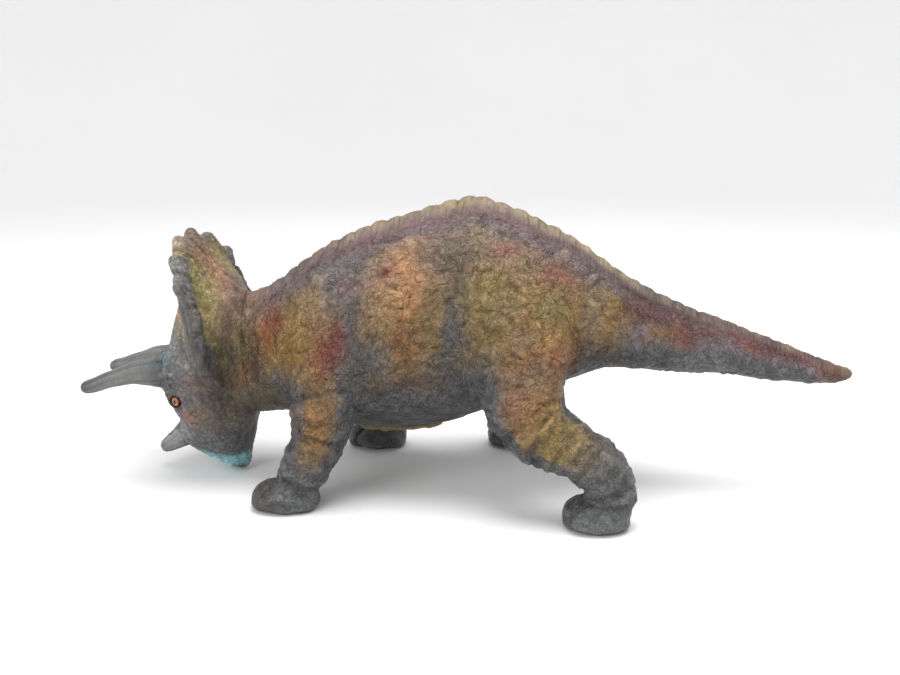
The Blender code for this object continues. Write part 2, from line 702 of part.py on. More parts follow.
def frill_form(name, inset, rows=len(FRILL_SHARES), sides=FRILL_SIDES, forwards=SEAM_GAP):
    """Neck that flares into the frill, whose rim carries a row of knobs."""
    turn = np.linspace(0, math.tau, sides, endpoint=False) + math.pi / 2
    knobs = abs(np.sin((turn - math.pi / 2) * FRILL_KNOBS / 2))
    rings = [neck_seam_ring(sides, inset, forwards)]
    for row, (x_share, z_share, above, below, half, lean, sweep) in enumerate(FRILL_SHARES[:rows]):
        rise = np.where(np.sin(turn) > 0, above, below) * RIDGE_HEIGHT - inset
        bump = FRILL_KNOB_HEIGHT * (knobs - 1) if row in FRILL_RIM_ROWS else 0
        z = (rise + bump) * np.sin(turn)
        y = (half * FRILL_WIDTH - inset + bump) * np.cos(turn)
        x = x_share * FIGURE_LENGTH - lean * z + sweep * FRILL_SWEEP * np.cos(turn) ** 2
        rings.append(np.stack((x, y, z + z_share * RIDGE_HEIGHT), axis=-1))
    if inset > 0:
        back = rings[-2] - rings[-1]
        rings[-1] = rings[-1] + inset * back / np.linalg.norm(back, axis=1)[:, None]
    return loft(name, rings)


def horn_form(name, shares, tip_shares, base_radius, side):
    scale = np.array((FIGURE_LENGTH, side * SKULL_WIDTH, RIDGE_HEIGHT, base_radius))
    rows = smooth_rows(np.array(shares) * scale, HORN_RINGS)
    path, radius = rows[:, :3], rows[:, 3]
    tangent = np.gradient(path, axis=0)
    tangent /= np.linalg.norm(tangent, axis=1)[:, None]
    across = np.cross(tangent, (0, 0, 1))
    across /= np.linalg.norm(across, axis=1)[:, None]
    up = np.cross(across, tangent)
    turn = np.linspace(0, math.tau, HORN_SIDES, endpoint=False)[None, :, None]
    circles = np.cos(turn) * across[:, None] + np.sin(turn) * up[:, None]
    rings = path[:, None] + radius[:, None, None] * circles
    return loft(name, rings, last_pole=np.array(tip_shares) * scale[:3])


def peg_line(shares, next_shares, side, depth, outwards):
    """Two points on a horn peg's axis: deep in the head, and out in the horn."""
    scale = np.array((FIGURE_LENGTH, side * SKULL_WIDTH, RIDGE_HEIGHT))
    start = np.array(shares) * scale
    axis = np.array(next_shares[:3]) * scale - start
    axis /= np.linalg.norm(axis)
    return start - depth * axis, start + outwards * axis


def brow_peg(name, side, radius, depth, outwards):
    return rod(name, *peg_line(BROW_PEG_SHARES, BROW_HORN_SHARES[3], side, depth, outwards), radius)


def nose_peg(name, radius, depth, outwards):
    return rod(name, *peg_line(NOSE_PEG_SHARES, NOSE_HORN_SHARES[3], 1, depth, outwards), radius)


def eye_ball(name, side, radius):
    yaw = math.radians(EYE_YAW)
    outwards = np.array((-math.cos(yaw), side * math.sin(yaw), 0))
    x_share, z_share = EYE_PLACE_SHARES
    surface = place(x_share, side * face_reach(x_share, z_share), z_share)
    middle = surface + (EYE_PROUD - EYE_RADIUS) * outwards
    mesh = bpy.data.meshes.new(name)
    ball = bmesh.new()
    bmesh.ops.create_uvsphere(ball, u_segments=EYE_SIDES, v_segments=EYE_SIDES // 2, radius=radius)
    bmesh.ops.translate(ball, verts=ball.verts, vec=middle)
    ball.to_mesh(mesh)
    ball.free()
    mesh.shade_smooth()
    made = bpy.data.objects.new(name, mesh)
    bpy.context.scene.collection.objects.link(made)
    return made


def head_hollow(name, inset, forwards):
    """Inside of the neck and skull; the frill itself is solid."""
    inside = frill_form(name, inset, 2, HOLLOW_SIDES, forwards)
    return join(inside, skull_form(name + "_skull", inset, HOLLOW_SIDES))


def head_sockets(suffix, gap):
    deep_brow, deep_nose = BROW_PEG_DEPTH + gap, NOSE_PEG_DEPTH + gap
    out_brow, out_nose = BROW_HORN_BASE_RADIUS, NOSE_HORN_BASE_RADIUS
    sockets = [nose_peg("nose_socket" + suffix, NOSE_PEG_RADIUS + gap, deep_nose, out_nose)]
    for side in (-1, 1):
        ending = f"{suffix}_{side}"
        sockets.append(brow_peg("brow_socket" + ending, side, BROW_PEG_RADIUS + gap, deep_brow, out_brow))
        sockets.append(eye_ball("eye_socket" + ending, side, EYE_RADIUS + gap))
    return sockets


def head_skin():
    skin = frill_form("head_skin", 0)
    lip_front = SKIN_WALL + SEAM_GAP
    lip_end = lip_front + NECK_LIP_THICKNESS
    root = SEAM_GAP + SKIN_WALL
    spigot_end = lip_front + NECK_LIP_THICKNESS / 2
    join(
        skin,
        skull_form("skull", 0),
        neck_rod("neck_spigot", root + CUT_OVERRUN, -spigot_end, NECK_SPIGOT_RADIUS),
        neck_rod("neck_lip", -lip_front, -lip_end, NECK_LIP_RADIUS),
    )
    cut(
        skin,
        head_hollow("head_hollow", SKIN_WALL, root),
        neck_rod(
            "neck_bore",
            root + 2 * CUT_OVERRUN,
            -lip_end - CUT_OVERRUN,
            NECK_BORE_RADIUS,
            BORE_TURN_SHARE,
        ),
        *head_sockets("", SEAM_GAP),
    )
    return finish(skin, "head_skin", (0.17, 0.16, 0.14), 0.5)


def head_filling():
    inset = SKIN_WALL + FILLING_GAP
    filling = head_hollow("head_filling", inset, SEAM_GAP + inset)
    lip_end = SKIN_WALL + SEAM_GAP + NECK_LIP_THICKNESS
    stem_start = SEAM_GAP + inset + CUT_OVERRUN
    join(filling, neck_rod("head_filling_stem", stem_start, -lip_end, NECK_BORE_RADIUS - SEAM_GAP))
    cut(filling, *head_sockets("_room", 2 * SEAM_GAP))
    return finish(filling, "head_filling", (0.86, 0.84, 0.80), 0.95)


def brow_horn(side, guards):
    name = "brow_horn_left" if side < 0 else "brow_horn_right"
    horn = horn_form(name, BROW_HORN_SHARES, BROW_TIP_SHARES, BROW_HORN_BASE_RADIUS, side)
    cut(horn, *guards)
    join(horn, brow_peg(name + "_peg", side, BROW_PEG_RADIUS, BROW_PEG_DEPTH, BROW_HORN_BASE_RADIUS))
    return finish(horn, name, (0.20, 0.20, 0.19), 0.42)


def nose_horn(guards):
    horn = horn_form("nose_horn", NOSE_HORN_SHARES, NOSE_TIP_SHARES, NOSE_HORN_BASE_RADIUS, 1)
    cut(horn, *guards)
    join(horn, nose_peg("nose_horn_peg", NOSE_PEG_RADIUS, NOSE_PEG_DEPTH, NOSE_HORN_BASE_RADIUS / 2))
    return finish(horn, "nose_horn", (0.19, 0.19, 0.18), 0.42)


def eye(side):
    name = "eye_left" if side < 0 else "eye_right"
    return finish(eye_ball(name, side, EYE_RADIUS), name, (0.62, 0.24, 0.10), 0.2)


def neck_joint():
    """Empty on the neck's axis that carries the head, rolled to the head's pose."""
    middle, axis = neck_frame()
    joint = bpy.data.objects.new("neck_joint", None)
    bpy.context.scene.collection.objects.link(joint)
    turn = Quaternion(Vector(axis), math.radians(HEAD_ROLL)).to_matrix().to_4x4()
    joint.matrix_world = Matrix.Translation(Vector(middle)) @ turn
    return joint


def hang_on(joint, pieces):
    """Moves meshes into the joint's own frame, so that they keep their place and take its turn."""
    shift = Matrix.Translation(-joint.matrix_world.translation)
    for piece in pieces:
        piece.data.transform(shift)
        piece.parent = joint


def build_head():
    joint = neck_joint()
    before = set(bpy.data.objects)
    head_skin()
    head_filling()
    guards = (skull_form("skull_guard", -SEAM_GAP), frill_form("frill_guard", -SEAM_GAP, forwards=0))
    for side in (-1, 1):
        brow_horn(side, guards)
        eye(side)
    nose_horn(guards)
    hang_on(joint, set(bpy.data.objects) - before)


def build_body():
    torso_skin()
    torso_filling()
    belly_plug()
    tail_skin()
    tail_filling()
    guard = torso_guard("leg_guard", SEAM_GAP)
    inner_guard = torso_guard("leg_wall_guard", SEAM_GAP + SKIN_WALL)
    deep_guard = torso_guard("leg_filling_guard", SEAM_GAP + SKIN_WALL + FILLING_GAP)
    for leg in LEG_SHARES:
        leg_skin(leg, guard, inner_guard)
        leg_filling(leg, deep_guard)


clear_scene()
build_body()
build_head()
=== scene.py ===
import json
import math
import bpy
import numpy as np
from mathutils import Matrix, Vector


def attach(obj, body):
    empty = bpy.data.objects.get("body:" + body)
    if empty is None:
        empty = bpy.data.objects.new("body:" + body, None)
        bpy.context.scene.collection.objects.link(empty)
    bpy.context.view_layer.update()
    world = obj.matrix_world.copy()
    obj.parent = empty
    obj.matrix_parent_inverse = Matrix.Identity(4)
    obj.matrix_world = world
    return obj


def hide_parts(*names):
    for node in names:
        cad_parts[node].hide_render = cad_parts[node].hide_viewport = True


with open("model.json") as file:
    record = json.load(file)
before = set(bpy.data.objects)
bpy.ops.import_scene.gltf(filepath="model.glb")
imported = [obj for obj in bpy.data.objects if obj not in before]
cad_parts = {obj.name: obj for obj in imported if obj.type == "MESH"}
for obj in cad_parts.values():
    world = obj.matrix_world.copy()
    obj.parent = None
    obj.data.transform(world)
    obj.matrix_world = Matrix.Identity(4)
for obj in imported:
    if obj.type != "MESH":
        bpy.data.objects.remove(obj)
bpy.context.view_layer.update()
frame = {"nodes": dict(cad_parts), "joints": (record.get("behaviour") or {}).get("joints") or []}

# Horned dinosaur toy of painted soft vinyl, walking to -X with its head down.
# World metres, Z up, soles on Z = 0, its left side towards -Y.
# Tables are in millimetres and are scaled by mm where they meet the mesh.

mm = 0.001
print("frame loaded:", len(frame["nodes"]), "nodes")


def rgb(red, green, blue):
    # paint colour from 0..255 display values to the linear values that shaders use
    c = np.array((red, green, blue)) / 255
    return np.where(c <= 0.04045, c / 12.92, ((c + 0.055) / 1.055) ** 2.4)


paints = {
    "slate": rgb(84, 85, 86),
    "darkSlate": rgb(60, 61, 62),
    "paleSlate": rgb(116, 116, 115),
    "bellySlate": rgb(80, 80, 82),
    "umber": rgb(84, 70, 54),
    "clay": rgb(122, 96, 84),
    "neckBrown": rgb(96, 80, 60),
    "bandMauve": rgb(126, 100, 98),
    "mustard": rgb(140, 108, 60),
    "ochre": rgb(134, 92, 46),
    "olive": rgb(124, 110, 60),
    "moss": rgb(92, 104, 52),
    "peach": rgb(186, 138, 94),
    "sand": rgb(150, 132, 100),
    "crestGrey": rgb(130, 116, 98),
    "mauve": rgb(126, 88, 86),
    "purpleGrey": rgb(110, 98, 102),
    "coolGrey": rgb(112, 114, 114),
    "brick": rgb(116, 56, 45),
    "wine": rgb(98, 42, 40),
    "rose": rgb(146, 90, 80),
    "orange": rgb(150, 88, 42),
    "teal": rgb(66, 136, 146),
    "beakTeal": rgb(112, 156, 160),
    "frillGreen": rgb(142, 131, 82),
    # dark brown of the wash in the creases, which is also painted shade there
    "washAndShadeBrown": rgb(34, 28, 24),
    "bone": rgb(150, 148, 140),
    "irisOrange": rgb(176, 96, 50),
    "eyePink": rgb(206, 146, 128),
    "eyeBeige": rgb(198, 170, 148),
    "pupilBrown": rgb(26, 15, 10),
    "lidBrown": rgb(58, 26, 18),
    "poleBrown": rgb(40, 22, 16),
    "closureTan": rgb(96, 88, 74),
    "glueTan": rgb(150, 122, 78),
}


# Arrays and noise

def unit(v):
    return v / np.maximum(np.linalg.norm(v, axis=-1, keepdims=True), 1e-12)


def ramp(low, high, x):
    # 0 below low, 1 above high, eased between by t*t*(3 - 2t)
    t = np.clip((x - low) / (high - low), 0, 1)
    return t * t * (3 - 2 * t)


def bell(x, width):
    # exp(-(x / width) squared)
    return np.exp(-((x / width) ** 2))


def cellRandom(cell, salt):
    # one number 0..1 for each whole-number cell: its numbers times large primes, mixed and cut to 32 bits
    h = (cell[..., 0] * 73856093) ^ (cell[..., 1] * 19349663) ^ (cell[..., 2] * 83492791)
    h = (h ^ (salt * 40503 + 12345)) & 0xFFFFFFFF
    h = (((h ^ (h >> 15)) & 0xFFFFFFFF) * 747796405) & 0xFFFFFFFF
    h = (((h ^ (h >> 13)) & 0xFFFFFFFF) * 1274126177) & 0xFFFFFFFF
    return ((h >> 8) & 0xFFFF) / 65535


def noise(p, size, salt=0, stretch=(1, 1, 1)):
    # value noise -1..1: random numbers on a grid of the given size, blended by eased weights
    q = p / (np.array(stretch) * size)
    base = np.floor(q).astype(np.int64)
    t = q - base
    t = t * t * (3 - 2 * t)
    total = np.zeros(len(p))
    for corner in range(8):
        offset = np.array([(corner >> k) & 1 for k in range(3)])
        weight = np.prod(np.where(offset, t, 1 - t), axis=-1)
        total += weight * cellRandom(base + offset, salt)
    return 2 * total - 1


def stirred(p, size, depth, salt):
    # the points moved by three noises, so that a pattern read there runs crooked
    return p + depth * np.stack([noise(p, size, salt + k) for k in range(3)], axis=-1)


def cobbles(p, size, salt=0, stretch=(1, 1, 1)):
    # distances to the nearest and next nearest of one random point in each cell, and the nearest's own number
    q = p / (np.array(stretch) * size)
    base = np.floor(q).astype(np.int64)
    first, second, own = np.full(len(p), 9.0), np.full(len(p), 9.0), np.zeros(len(p))
    for step in np.ndindex(3, 3, 3):
        cell = base + np.array(step) - 1
        place = cell + np.stack([cellRandom(cell, salt + k) for k in range(3)], axis=-1)
        far = np.linalg.norm(q - place, axis=-1)
        nearer = far < first
        second = np.where(nearer, first, np.minimum(second, far))
        own = np.where(nearer, cellRandom(cell, salt + 7), own)
        first = np.minimum(first, far)
    return first, second, own


def curveRows(rows, count):
    # Catmull-Rom curve through the rows, read evenly by the arc length of their first three columns
    rows = np.asarray(rows, float)
    wide = np.vstack((2 * rows[0] - rows[1], rows, 2 * rows[-1] - rows[-2]))
    steps = np.linalg.norm(np.diff(rows[:, :3], axis=0), axis=1)
    knots = np.concatenate(((0,), np.cumsum(steps)))
    wanted = np.linspace(0, knots[-1], count)
    span = np.clip(np.searchsorted(knots, wanted, side="right") - 1, 0, len(steps) - 1)
    t = ((wanted - knots[span]) / steps[span])[:, None]
    a, b, c, d = (wide[span + k] for k in range(4))
    return 0.5 * (2 * b + (c - a) * t + (2 * a - 5 * b + 4 * c - d) * t**2 + (3 * b - a - 3 * c + d) * t**3)


def grid(along, sides):
    # two parameters of a surface: the given values one way, angles all round the other
    return np.meshgrid(along, np.linspace(0, math.tau, sides, endpoint=False), indexing="ij")


# Meshes

def ringSkin(rings, startPole=None, endPole=None):
    # quads between neighbouring rings (count, sides, 3) and a fan to a pole at each end, turned outwards
    count, sides = rings.shape[:2]
    poles = [rings[0].mean(0) if startPole is None else startPole, rings[-1].mean(0) if endPole is None else endPole]
    points = np.vstack((rings.reshape(-1, 3), poles))
    i, j = np.meshgrid(np.arange(count - 1), np.arange(sides), indexing="ij")
    k = (j + 1) % sides
    quads = np.stack((i * sides + j, i * sides + k, (i + 1) * sides + k, (i + 1) * sides + j), -1).reshape(-1, 4)
    s, end = np.arange(sides), (count - 1) * sides
    n = (s + 1) % sides
    fans = np.vstack((
        np.stack((np.full(sides, count * sides), n, s), -1),
        np.stack((np.full(sides, count * sides + 1), end + s, end + n), -1),
    ))
    tris = np.vstack((quads[:, [0, 1, 2]], quads[:, [0, 2, 3]], fans))
    corners = points[tris]
    if np.einsum("ij,ij->", corners[:, 0], np.cross(corners[:, 1], corners[:, 2])) < 0:
        quads, fans = quads[:, ::-1], fans[:, ::-1]
    return points, quads, fans


def makeMesh(name, points, quads, fans=None):
    # fills a new mesh from whole arrays of corners, quads and triangles
    mesh = bpy.data.meshes.new(name)
    loops = quads.reshape(-1)
    starts = np.arange(len(quads)) * 4
    if fans is not None and len(fans):
        starts = np.concatenate((starts, len(loops) + np.arange(len(fans)) * 3))
        loops = np.concatenate((loops, fans.reshape(-1)))
    mesh.vertices.add(len(points))
    mesh.vertices.foreach_set("co", np.ascontiguousarray(points, np.float32).reshape(-1))
    mesh.loops.add(len(loops))
    mesh.loops.foreach_set("vertex_index", loops.astype(np.int32))
    mesh.polygons.add(len(starts))
    mesh.polygons.foreach_set("loop_start", starts.astype(np.int32))
    mesh.update(calc_edges=True)
    mesh.validate()
    mesh.set_sharp_from_angle(angle=math.radians(55))
    return mesh


def addPiece(name, mesh, body, stands=()):
    piece = bpy.data.objects.new(name, mesh)
    bpy.context.scene.collection.objects.link(piece)
    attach(piece, body)
    if stands:
        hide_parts(*stands)
    return piece


def tint(mesh, name, values):
    # one colour per point, for the shader to read by name
    layer = mesh.color_attributes.new(name, "FLOAT_COLOR", "POINT")
    full = np.ones((len(values), 4), np.float32)
    full[:, :3] = np.clip(values, 0, 1)
    layer.data.foreach_set("color", full.reshape(-1))


def fuseForms(forms, voxel):
    # joins overlapping closed forms into one skin of small even quads
    points, quads, fans, shift = [], [], [], 0
    for formPoints, formQuads, formFans in forms:
        points.append(formPoints)
        quads.append(formQuads + shift)
        fans.append(formFans + shift)
        shift += len(formPoints)
    mesh = makeMesh("forms", np.vstack(points), np.vstack(quads), np.vstack(fans))
    raw = bpy.data.objects.new("forms", mesh)
    bpy.context.scene.collection.objects.link(raw)
    remesh = raw.modifiers.new("fuse", "REMESH")
    remesh.mode = "VOXEL"
    remesh.voxel_size = voxel
    remesh.adaptivity = 0
    bpy.context.view_layer.update()
    fused = raw.evaluated_get(bpy.context.evaluated_depsgraph_get()).to_mesh()
    p = np.empty(len(fused.vertices) * 3, np.float32)
    fused.vertices.foreach_get("co", p)
    q = np.empty(len(fused.loops), np.int32)
    fused.loops.foreach_get("vertex_index", q)
    bpy.data.objects.remove(raw)
    bpy.data.meshes.remove(mesh)
    return p.reshape(-1, 3).astype(float), q.reshape(-1, 4)


def pointNormals(p, quads):
    # sum of the cross products of the diagonals of the quads round each point
    n = np.cross(p[quads[:, 2]] - p[quads[:, 0]], p[quads[:, 3]] - p[quads[:, 1]])
    spread = np.repeat(n, 4, axis=0)
    return unit(np.stack([np.bincount(quads.reshape(-1), spread[:, k], len(p)) for k in range(3)], -1))


def quadEdges(quads):
    ends = np.vstack([np.stack((quads[:, k], quads[:, (k + 1) % 4]), -1) for k in range(4)])
    ends.sort(axis=1)
    return np.unique(ends, axis=0)


def relax(values, edges, rounds, share):
    # each value moves by its share towards the mean of its neighbours, again and again
    a, b = edges.T
    total = len(values)
    valence = np.maximum(np.bincount(a, minlength=total) + np.bincount(b, minlength=total), 1)
    flat = values.reshape(total, -1)
    share = np.broadcast_to(share, total)[:, None]
    for _ in range(rounds):
        mean = np.stack([
            (np.bincount(a, flat[b, k], total) + np.bincount(b, flat[a, k], total)) / valence
            for k in range(flat.shape[1])
        ], -1)
        flat = flat + share * (mean - flat)
    return flat.reshape(values.shape)


def spray(colour, base, weight):
    # lays a paint over the base by a weight for each point
    return base + np.clip(weight, 0, 1)[:, None] * (paints[colour] - base)


def sprayPatches(base, x, z, patches):
    # patch: colour, middle x and z, radius along and up, tilt in degrees, strength
    for colour, midX, midZ, wide, high, tilt, strength in patches:
        turn = math.radians(tilt)
        along = (x - midX) * math.cos(turn) + (z - midZ) * math.sin(turn)
        up = (z - midZ) * math.cos(turn) - (x - midX) * math.sin(turn)
        far = np.sqrt((along / wide) ** 2 + (up / high) ** 2)
        base = spray(colour, base, strength * np.exp(-(far**2.6)))
    return base


# Neck joint, shared by the body and the head

joint = frame["joints"][0]
neckMiddle = np.array(joint["pos_m"]) / mm
neckAxis = unit(np.array(joint["axis"], float))
neck = {
    "bodyGap": 0.0,  # mm, the body ends on the seam plane
    "headGap": 0.15,  # mm, the head starts this far ahead of it
    "overrun": 5.0,  # mm, how far each form passes the seam before it is cut off there
    "roll": -4.0,  # degrees, the left side of the frill is raised
    "twistLength": 16.0,  # mm, the neck's length that takes up the roll
    "lip": 1.7,  # mm past the seam that is laid flat without being drawn in, so that the rim stays sharp
}

# colour, middle x and z, radius along and up, tilt, strength: sprayed over the seam on both skins
neckPatches = (
    ("clay", -124, 112, 18, 12, 0, 0.6), ("purpleGrey", -106, 119, 15, 8, 25, 0.6),
    ("olive", -128, 93, 6, 16, 0, 0.3), ("ochre", -116, 92, 7, 13, 0, 0.35), ("orange", -110, 97, 7, 11, 0, 0.7),
    ("brick", -105.5, 102, 6.5, 9, 0, 0.95), ("wine", -104, 104, 3.5, 4, 0, 0.6), ("mustard", -98, 94, 7, 19, -4, 0.7),
    ("brick", -120, 76, 4, 6, 0, 0.3), ("ochre", -127, 70, 5, 9, 0, 0.4), ("slate", -101, 70, 8, 9, 0, 0.7),
    ("umber", -116, 52, 14, 9, 0, 0.6), ("brick", -112, 56, 3, 3, 0, 0.3), ("olive", -109, 76, 5, 7, 0, 0.3),
)


def aheadOfSeam(p):
    # distance in front of the seam plane, along the neck's axis
    return (p - neckMiddle) @ neckAxis


def rolled(p, degrees):
    # Rodrigues turn about the neck's axis, none at the seam and full past the neck's twist
    a = np.radians(degrees * ramp(neck["headGap"], neck["twistLength"], aheadOfSeam(p)))[:, None]
    v = p - neckMiddle
    turned = v * np.cos(a) + np.cross(neckAxis, v) * np.sin(a)
    return neckMiddle + turned + (v @ neckAxis)[:, None] * neckAxis * (1 - np.cos(a))


def neckFolds(q):
    # upright folds that run on across the seam: noise drawn out along Z and stirred sideways
    coarse = noise(stirred(q, 8, 1.8, 91), 2.6, 92, (1.0, 2.2, 5.5))
    return coarse + 0.5 * noise(stirred(q, 5, 1.2, 94), 1.6, 93, (1.0, 2.2, 4.5))


def neckSkin(q, height, crease):
    # near the seam both skins take the same height and crease, so that the surface runs on
    upright = neckFolds(q)
    close = ramp(15, 5, abs(aheadOfSeam(q)))
    own = 0.55 * upright + 0.2 * noise(q, 2.6, 51) + 0.3 * noise(q, 10, 52)
    return height + close * (own - height), crease + close * (0.6 * ramp(-0.1, -0.9, upright) - crease)


def neckCoat(q, base, weight):
    # brown neck over the base: reddish clay on top, slate below, patches, pale streaks on the folds
    x, y, z = stirred(stirred(q, 9, 2.6, 301), 3, 0.9, 311).T
    own = np.tile(paints["neckBrown"], (len(q), 1))
    own = spray("clay", own, 0.9 * ramp(94, 108, z))
    own = spray("slate", own, 0.6 * ramp(62, 46, z))
    base = sprayPatches(base + weight[:, None] * (own - base), x, z, neckPatches)
    base = spray("sand", base, 0.35 * weight * ramp(0.2, 1.0, neckFolds(q)) * ramp(56, 76, z))
    dapple = 1 + 0.12 * noise(q, 3.4, 151) + 0.10 * noise(q, 1.9, 152) + 0.08 * noise(q, 10, 153)
    return base * dapple[:, None]


def cutAtSeam(p, limit, towards):
    # what passes the seam plane is laid flat on it, and past the lip drawn in to close the end
    over = np.maximum(towards * (aheadOfSeam(p) - limit), 0)
    flat = p - (towards * over)[:, None] * neckAxis
    middle = neckMiddle + limit * neckAxis
    drawn = np.maximum(over - neck["lip"], 0)[:, None]
    return np.where(drawn > 0, middle + (flat - middle) * (1 - 0.08 * drawn), flat)


# Body: torso, tail and legs cast as one painted skin

body = {
    "voxel": 1.43,
    "sides": 96,
    "eggShare": 0.14,  # how much wider the belly side is than the back
    "crestHalf": 6.0,
    "crestBand": 17.0,  # how far the striped band reaches down from the ridge
    "lobeHeight": 1.2,
    "lobePower": 0.8,  # less is rounder with sharper valleys
    "creaseSize": 6.6,
    "creaseDepth": 1.15,
    "lumpDepth": 0.95,
    "blendRounds": 60,
    "frontFolds": ((0.36, 0.9), (0.62, 0.6), (0.88, 0.6)),  # share of the leg and depth of the folds at its joints
    "rearFolds": ((0.47, 1.0), (0.56, 0.8), (0.91, 0.8)),
}

# top x, top z, bottom x, bottom z, half width, crest height, from the neck to the tail's tip
trunkRows = (
    (-130.6, 114.1, -121.0, 40.0, 32.0, 1.4),
    (-121.4, 116.6, -112.7, 41.5, 35.0, 1.8),
    (-109.9, 123.0, -104.4, 42.1, 40.0, 2.3),
    (-97.5, 133.0, -94.3, 40.5, 45.0, 2.9),
    (-78.7, 145.2, -78.7, 37.0, 50.5, 3.8),
    (-54.3, 156.7, -56.6, 34.6, 56.0, 4.5),
    (-30.4, 164.2, -31.3, 34.3, 60.0, 4.5),
    (-6.4, 171.4, -8.3, 38.4, 61.0, 4.5),
    (10.6, 174.3, 11.5, 45.4, 60.0, 4.5),
    (34.5, 166.6, 31.3, 52.8, 56.0, 4.5),
    (53.4, 157.7, 50.6, 59.5, 49.5, 4.3),
    (69.9, 148.3, 66.7, 66.1, 40.3, 3.8),
    (81.9, 140.1, 80.5, 71.7, 32.5, 3.4),
    (90.6, 133.7, 90.2, 73.6, 28.5, 3.1),
    (105.3, 124.4, 105.3, 73.1, 24.5, 2.7),
    (129.3, 112.9, 129.3, 71.4, 19.5, 2.2),
    (153.2, 104.0, 153.2, 70.7, 15.5, 1.8),
    (176.6, 95.0, 176.6, 68.2, 12.0, 1.6),
    (199.6, 86.2, 199.6, 66.2, 9.0, 1.2),
    (213.4, 81.0, 213.4, 65.6, 7.2, 0.9),
    (224.0, 77.4, 224.0, 66.8, 5.2, 0.6),
    (229.0, 75.4, 229.0, 68.6, 3.4, 0.3),
    (231.0, 73.8, 231.0, 70.2, 1.6, 0.1),
)

# x, side reach, z, half thickness along, half thickness across, from the root to the ankle
legRows = {
    "front_leg_left": (
        (-76.4, 38.4, 95.1, 18.5, 14.8), (-74.5, 48.4, 75.0, 19.6, 15.9), (-73.1, 55.8, 56.7, 18.9, 16.7),
        (-75.9, 60.1, 40.1, 16.7, 15.5), (-81.9, 62.0, 26.2, 14.3, 14.3), (-87.9, 62.0, 14.8, 12.8, 13.4),
        (-89.2, 62.0, 7.0, 11.8, 12.6),
    ),
    "front_leg_right": (
        (-76.4, 38.4, 95.1, 18.5, 14.8), (-74.5, 48.4, 75.0, 19.6, 15.9), (-68.5, 55.8, 56.7, 18.5, 16.3),
        (-61.6, 60.1, 40.1, 16.3, 15.2), (-56.6, 62.0, 26.2, 14.4, 14.1), (-56.1, 62.0, 14.8, 13.3, 13.3),
        (-57.0, 62.0, 7.0, 12.0, 12.6),
    ),
    "rear_leg_left": (
        (43.2, 37.0, 113.4, 25.0, 17.3), (40.9, 48.8, 94.2, 25.9, 18.2), (39.6, 59.2, 73.3, 24.0, 18.2),
        (46.8, 66.6, 54.1, 20.6, 17.3), (67.0, 71.0, 43.3, 16.2, 15.6), (82.4, 74.0, 34.0, 15.2, 14.6),
        (89.4, 74.0, 21.8, 14.4, 14.0), (87.8, 74.0, 10.5, 13.8, 13.4),
    ),
    "rear_leg_right": (
        (43.2, 37.0, 113.4, 25.0, 17.3), (39.6, 48.8, 94.2, 25.9, 18.2), (33.1, 59.2, 73.3, 23.0, 17.8),
        (29.4, 65.9, 54.1, 19.2, 16.3), (33.1, 70.3, 39.3, 15.8, 15.4), (39.1, 72.5, 26.2, 14.4, 14.4),
        (39.6, 74.0, 15.7, 13.9, 13.9), (37.7, 74.0, 7.9, 13.2, 13.4),
    ),
}

# middle x, side reach, length, width, height
feet = {
    "front_leg_left": (-95.0, 62.0, 39.0, 35.0, 16.5),
    "front_leg_right": (-61.4, 62.0, 38.5, 35.0, 16.0),
    "rear_leg_left": (82.0, 74.0, 37.0, 38.0, 18.0),
    "rear_leg_right": (30.4, 74.0, 37.5, 37.0, 18.0),
}

# x, z, radius and height of the larger warts on the flank, on both sides
warts = (
    (-26.9, 149.5, 4.2, 1.7), (-33.8, 130.2, 3.8, 1.5), (-80.7, 126.7, 4.0, 1.6), (-4.5, 146.5, 3.6, 1.5),
    (59.0, 141.5, 4.4, 1.9), (77.4, 129.3, 3.6, 1.5), (-13.0, 138.0, 3.8, 1.2), (8.0, 139.0, 3.0, 1.0),
    (30.0, 141.0, 3.2, 1.0),
)


def sideOf(leg):
    return -1 if leg.endswith("left") else 1


def trunkAt(x):
    # the trunk's rows read at x: heights of ridge and underside, half width, crest height
    topX, topZ, bottomX, bottomZ, half, crest = np.array(trunkRows).T
    ridge, under = np.interp(x, topX, topZ), np.interp(x, bottomX, bottomZ)
    return ridge, under, np.interp(x, topX, half), np.interp(x, topX, crest)


def trunkForm():
    # egg-shaped rings: y = half * cos * (1 - egg * sin), height = half * sin, plus a narrow keel on top
    ahead = neck["overrun"] * neckAxis
    first = np.array(trunkRows[0]) + (ahead[0], ahead[2], ahead[0], ahead[2], 0, 0)
    rows = curveRows(np.vstack((first, trunkRows)), 260)
    fromTop = np.linspace(0, math.tau, body["sides"], endpoint=False)
    turn = fromTop - 0.5 * np.sin(fromTop) + math.pi / 2
    top = np.stack((rows[:, 0], 0 * rows[:, 0], rows[:, 1]), -1)
    bottom = np.stack((rows[:, 2], 0 * rows[:, 0], rows[:, 3]), -1)
    upright = unit(top - bottom)
    keel = rows[:, 5] + 0.5
    halfUp = 0.5 * (np.linalg.norm(top - bottom, axis=1) - keel)
    middle = 0.5 * (top + bottom) - 0.5 * keel[:, None] * upright
    across = rows[:, 4, None] * np.cos(turn) * (1 - body["eggShare"] * np.sin(turn))
    height = halfUp[:, None] * np.sin(turn)
    above = np.sin(turn) > 0
    size = np.clip(rows[:, 4, None] / 40, 0.15, 1)
    height = height + keel[:, None] * bell(across, body["crestHalf"] * np.sqrt(size)) * above
    rings = middle[:, None] + height[..., None] * upright[:, None] + across[..., None] * (0, 1, 0)
    return ringSkin(rings * mm)


def legPath(leg, count=44):
    rows = curveRows(np.array(legRows[leg]) * (1, sideOf(leg), 1, 1, 1), count)
    return rows[:, :3], rows[:, 3], rows[:, 4]


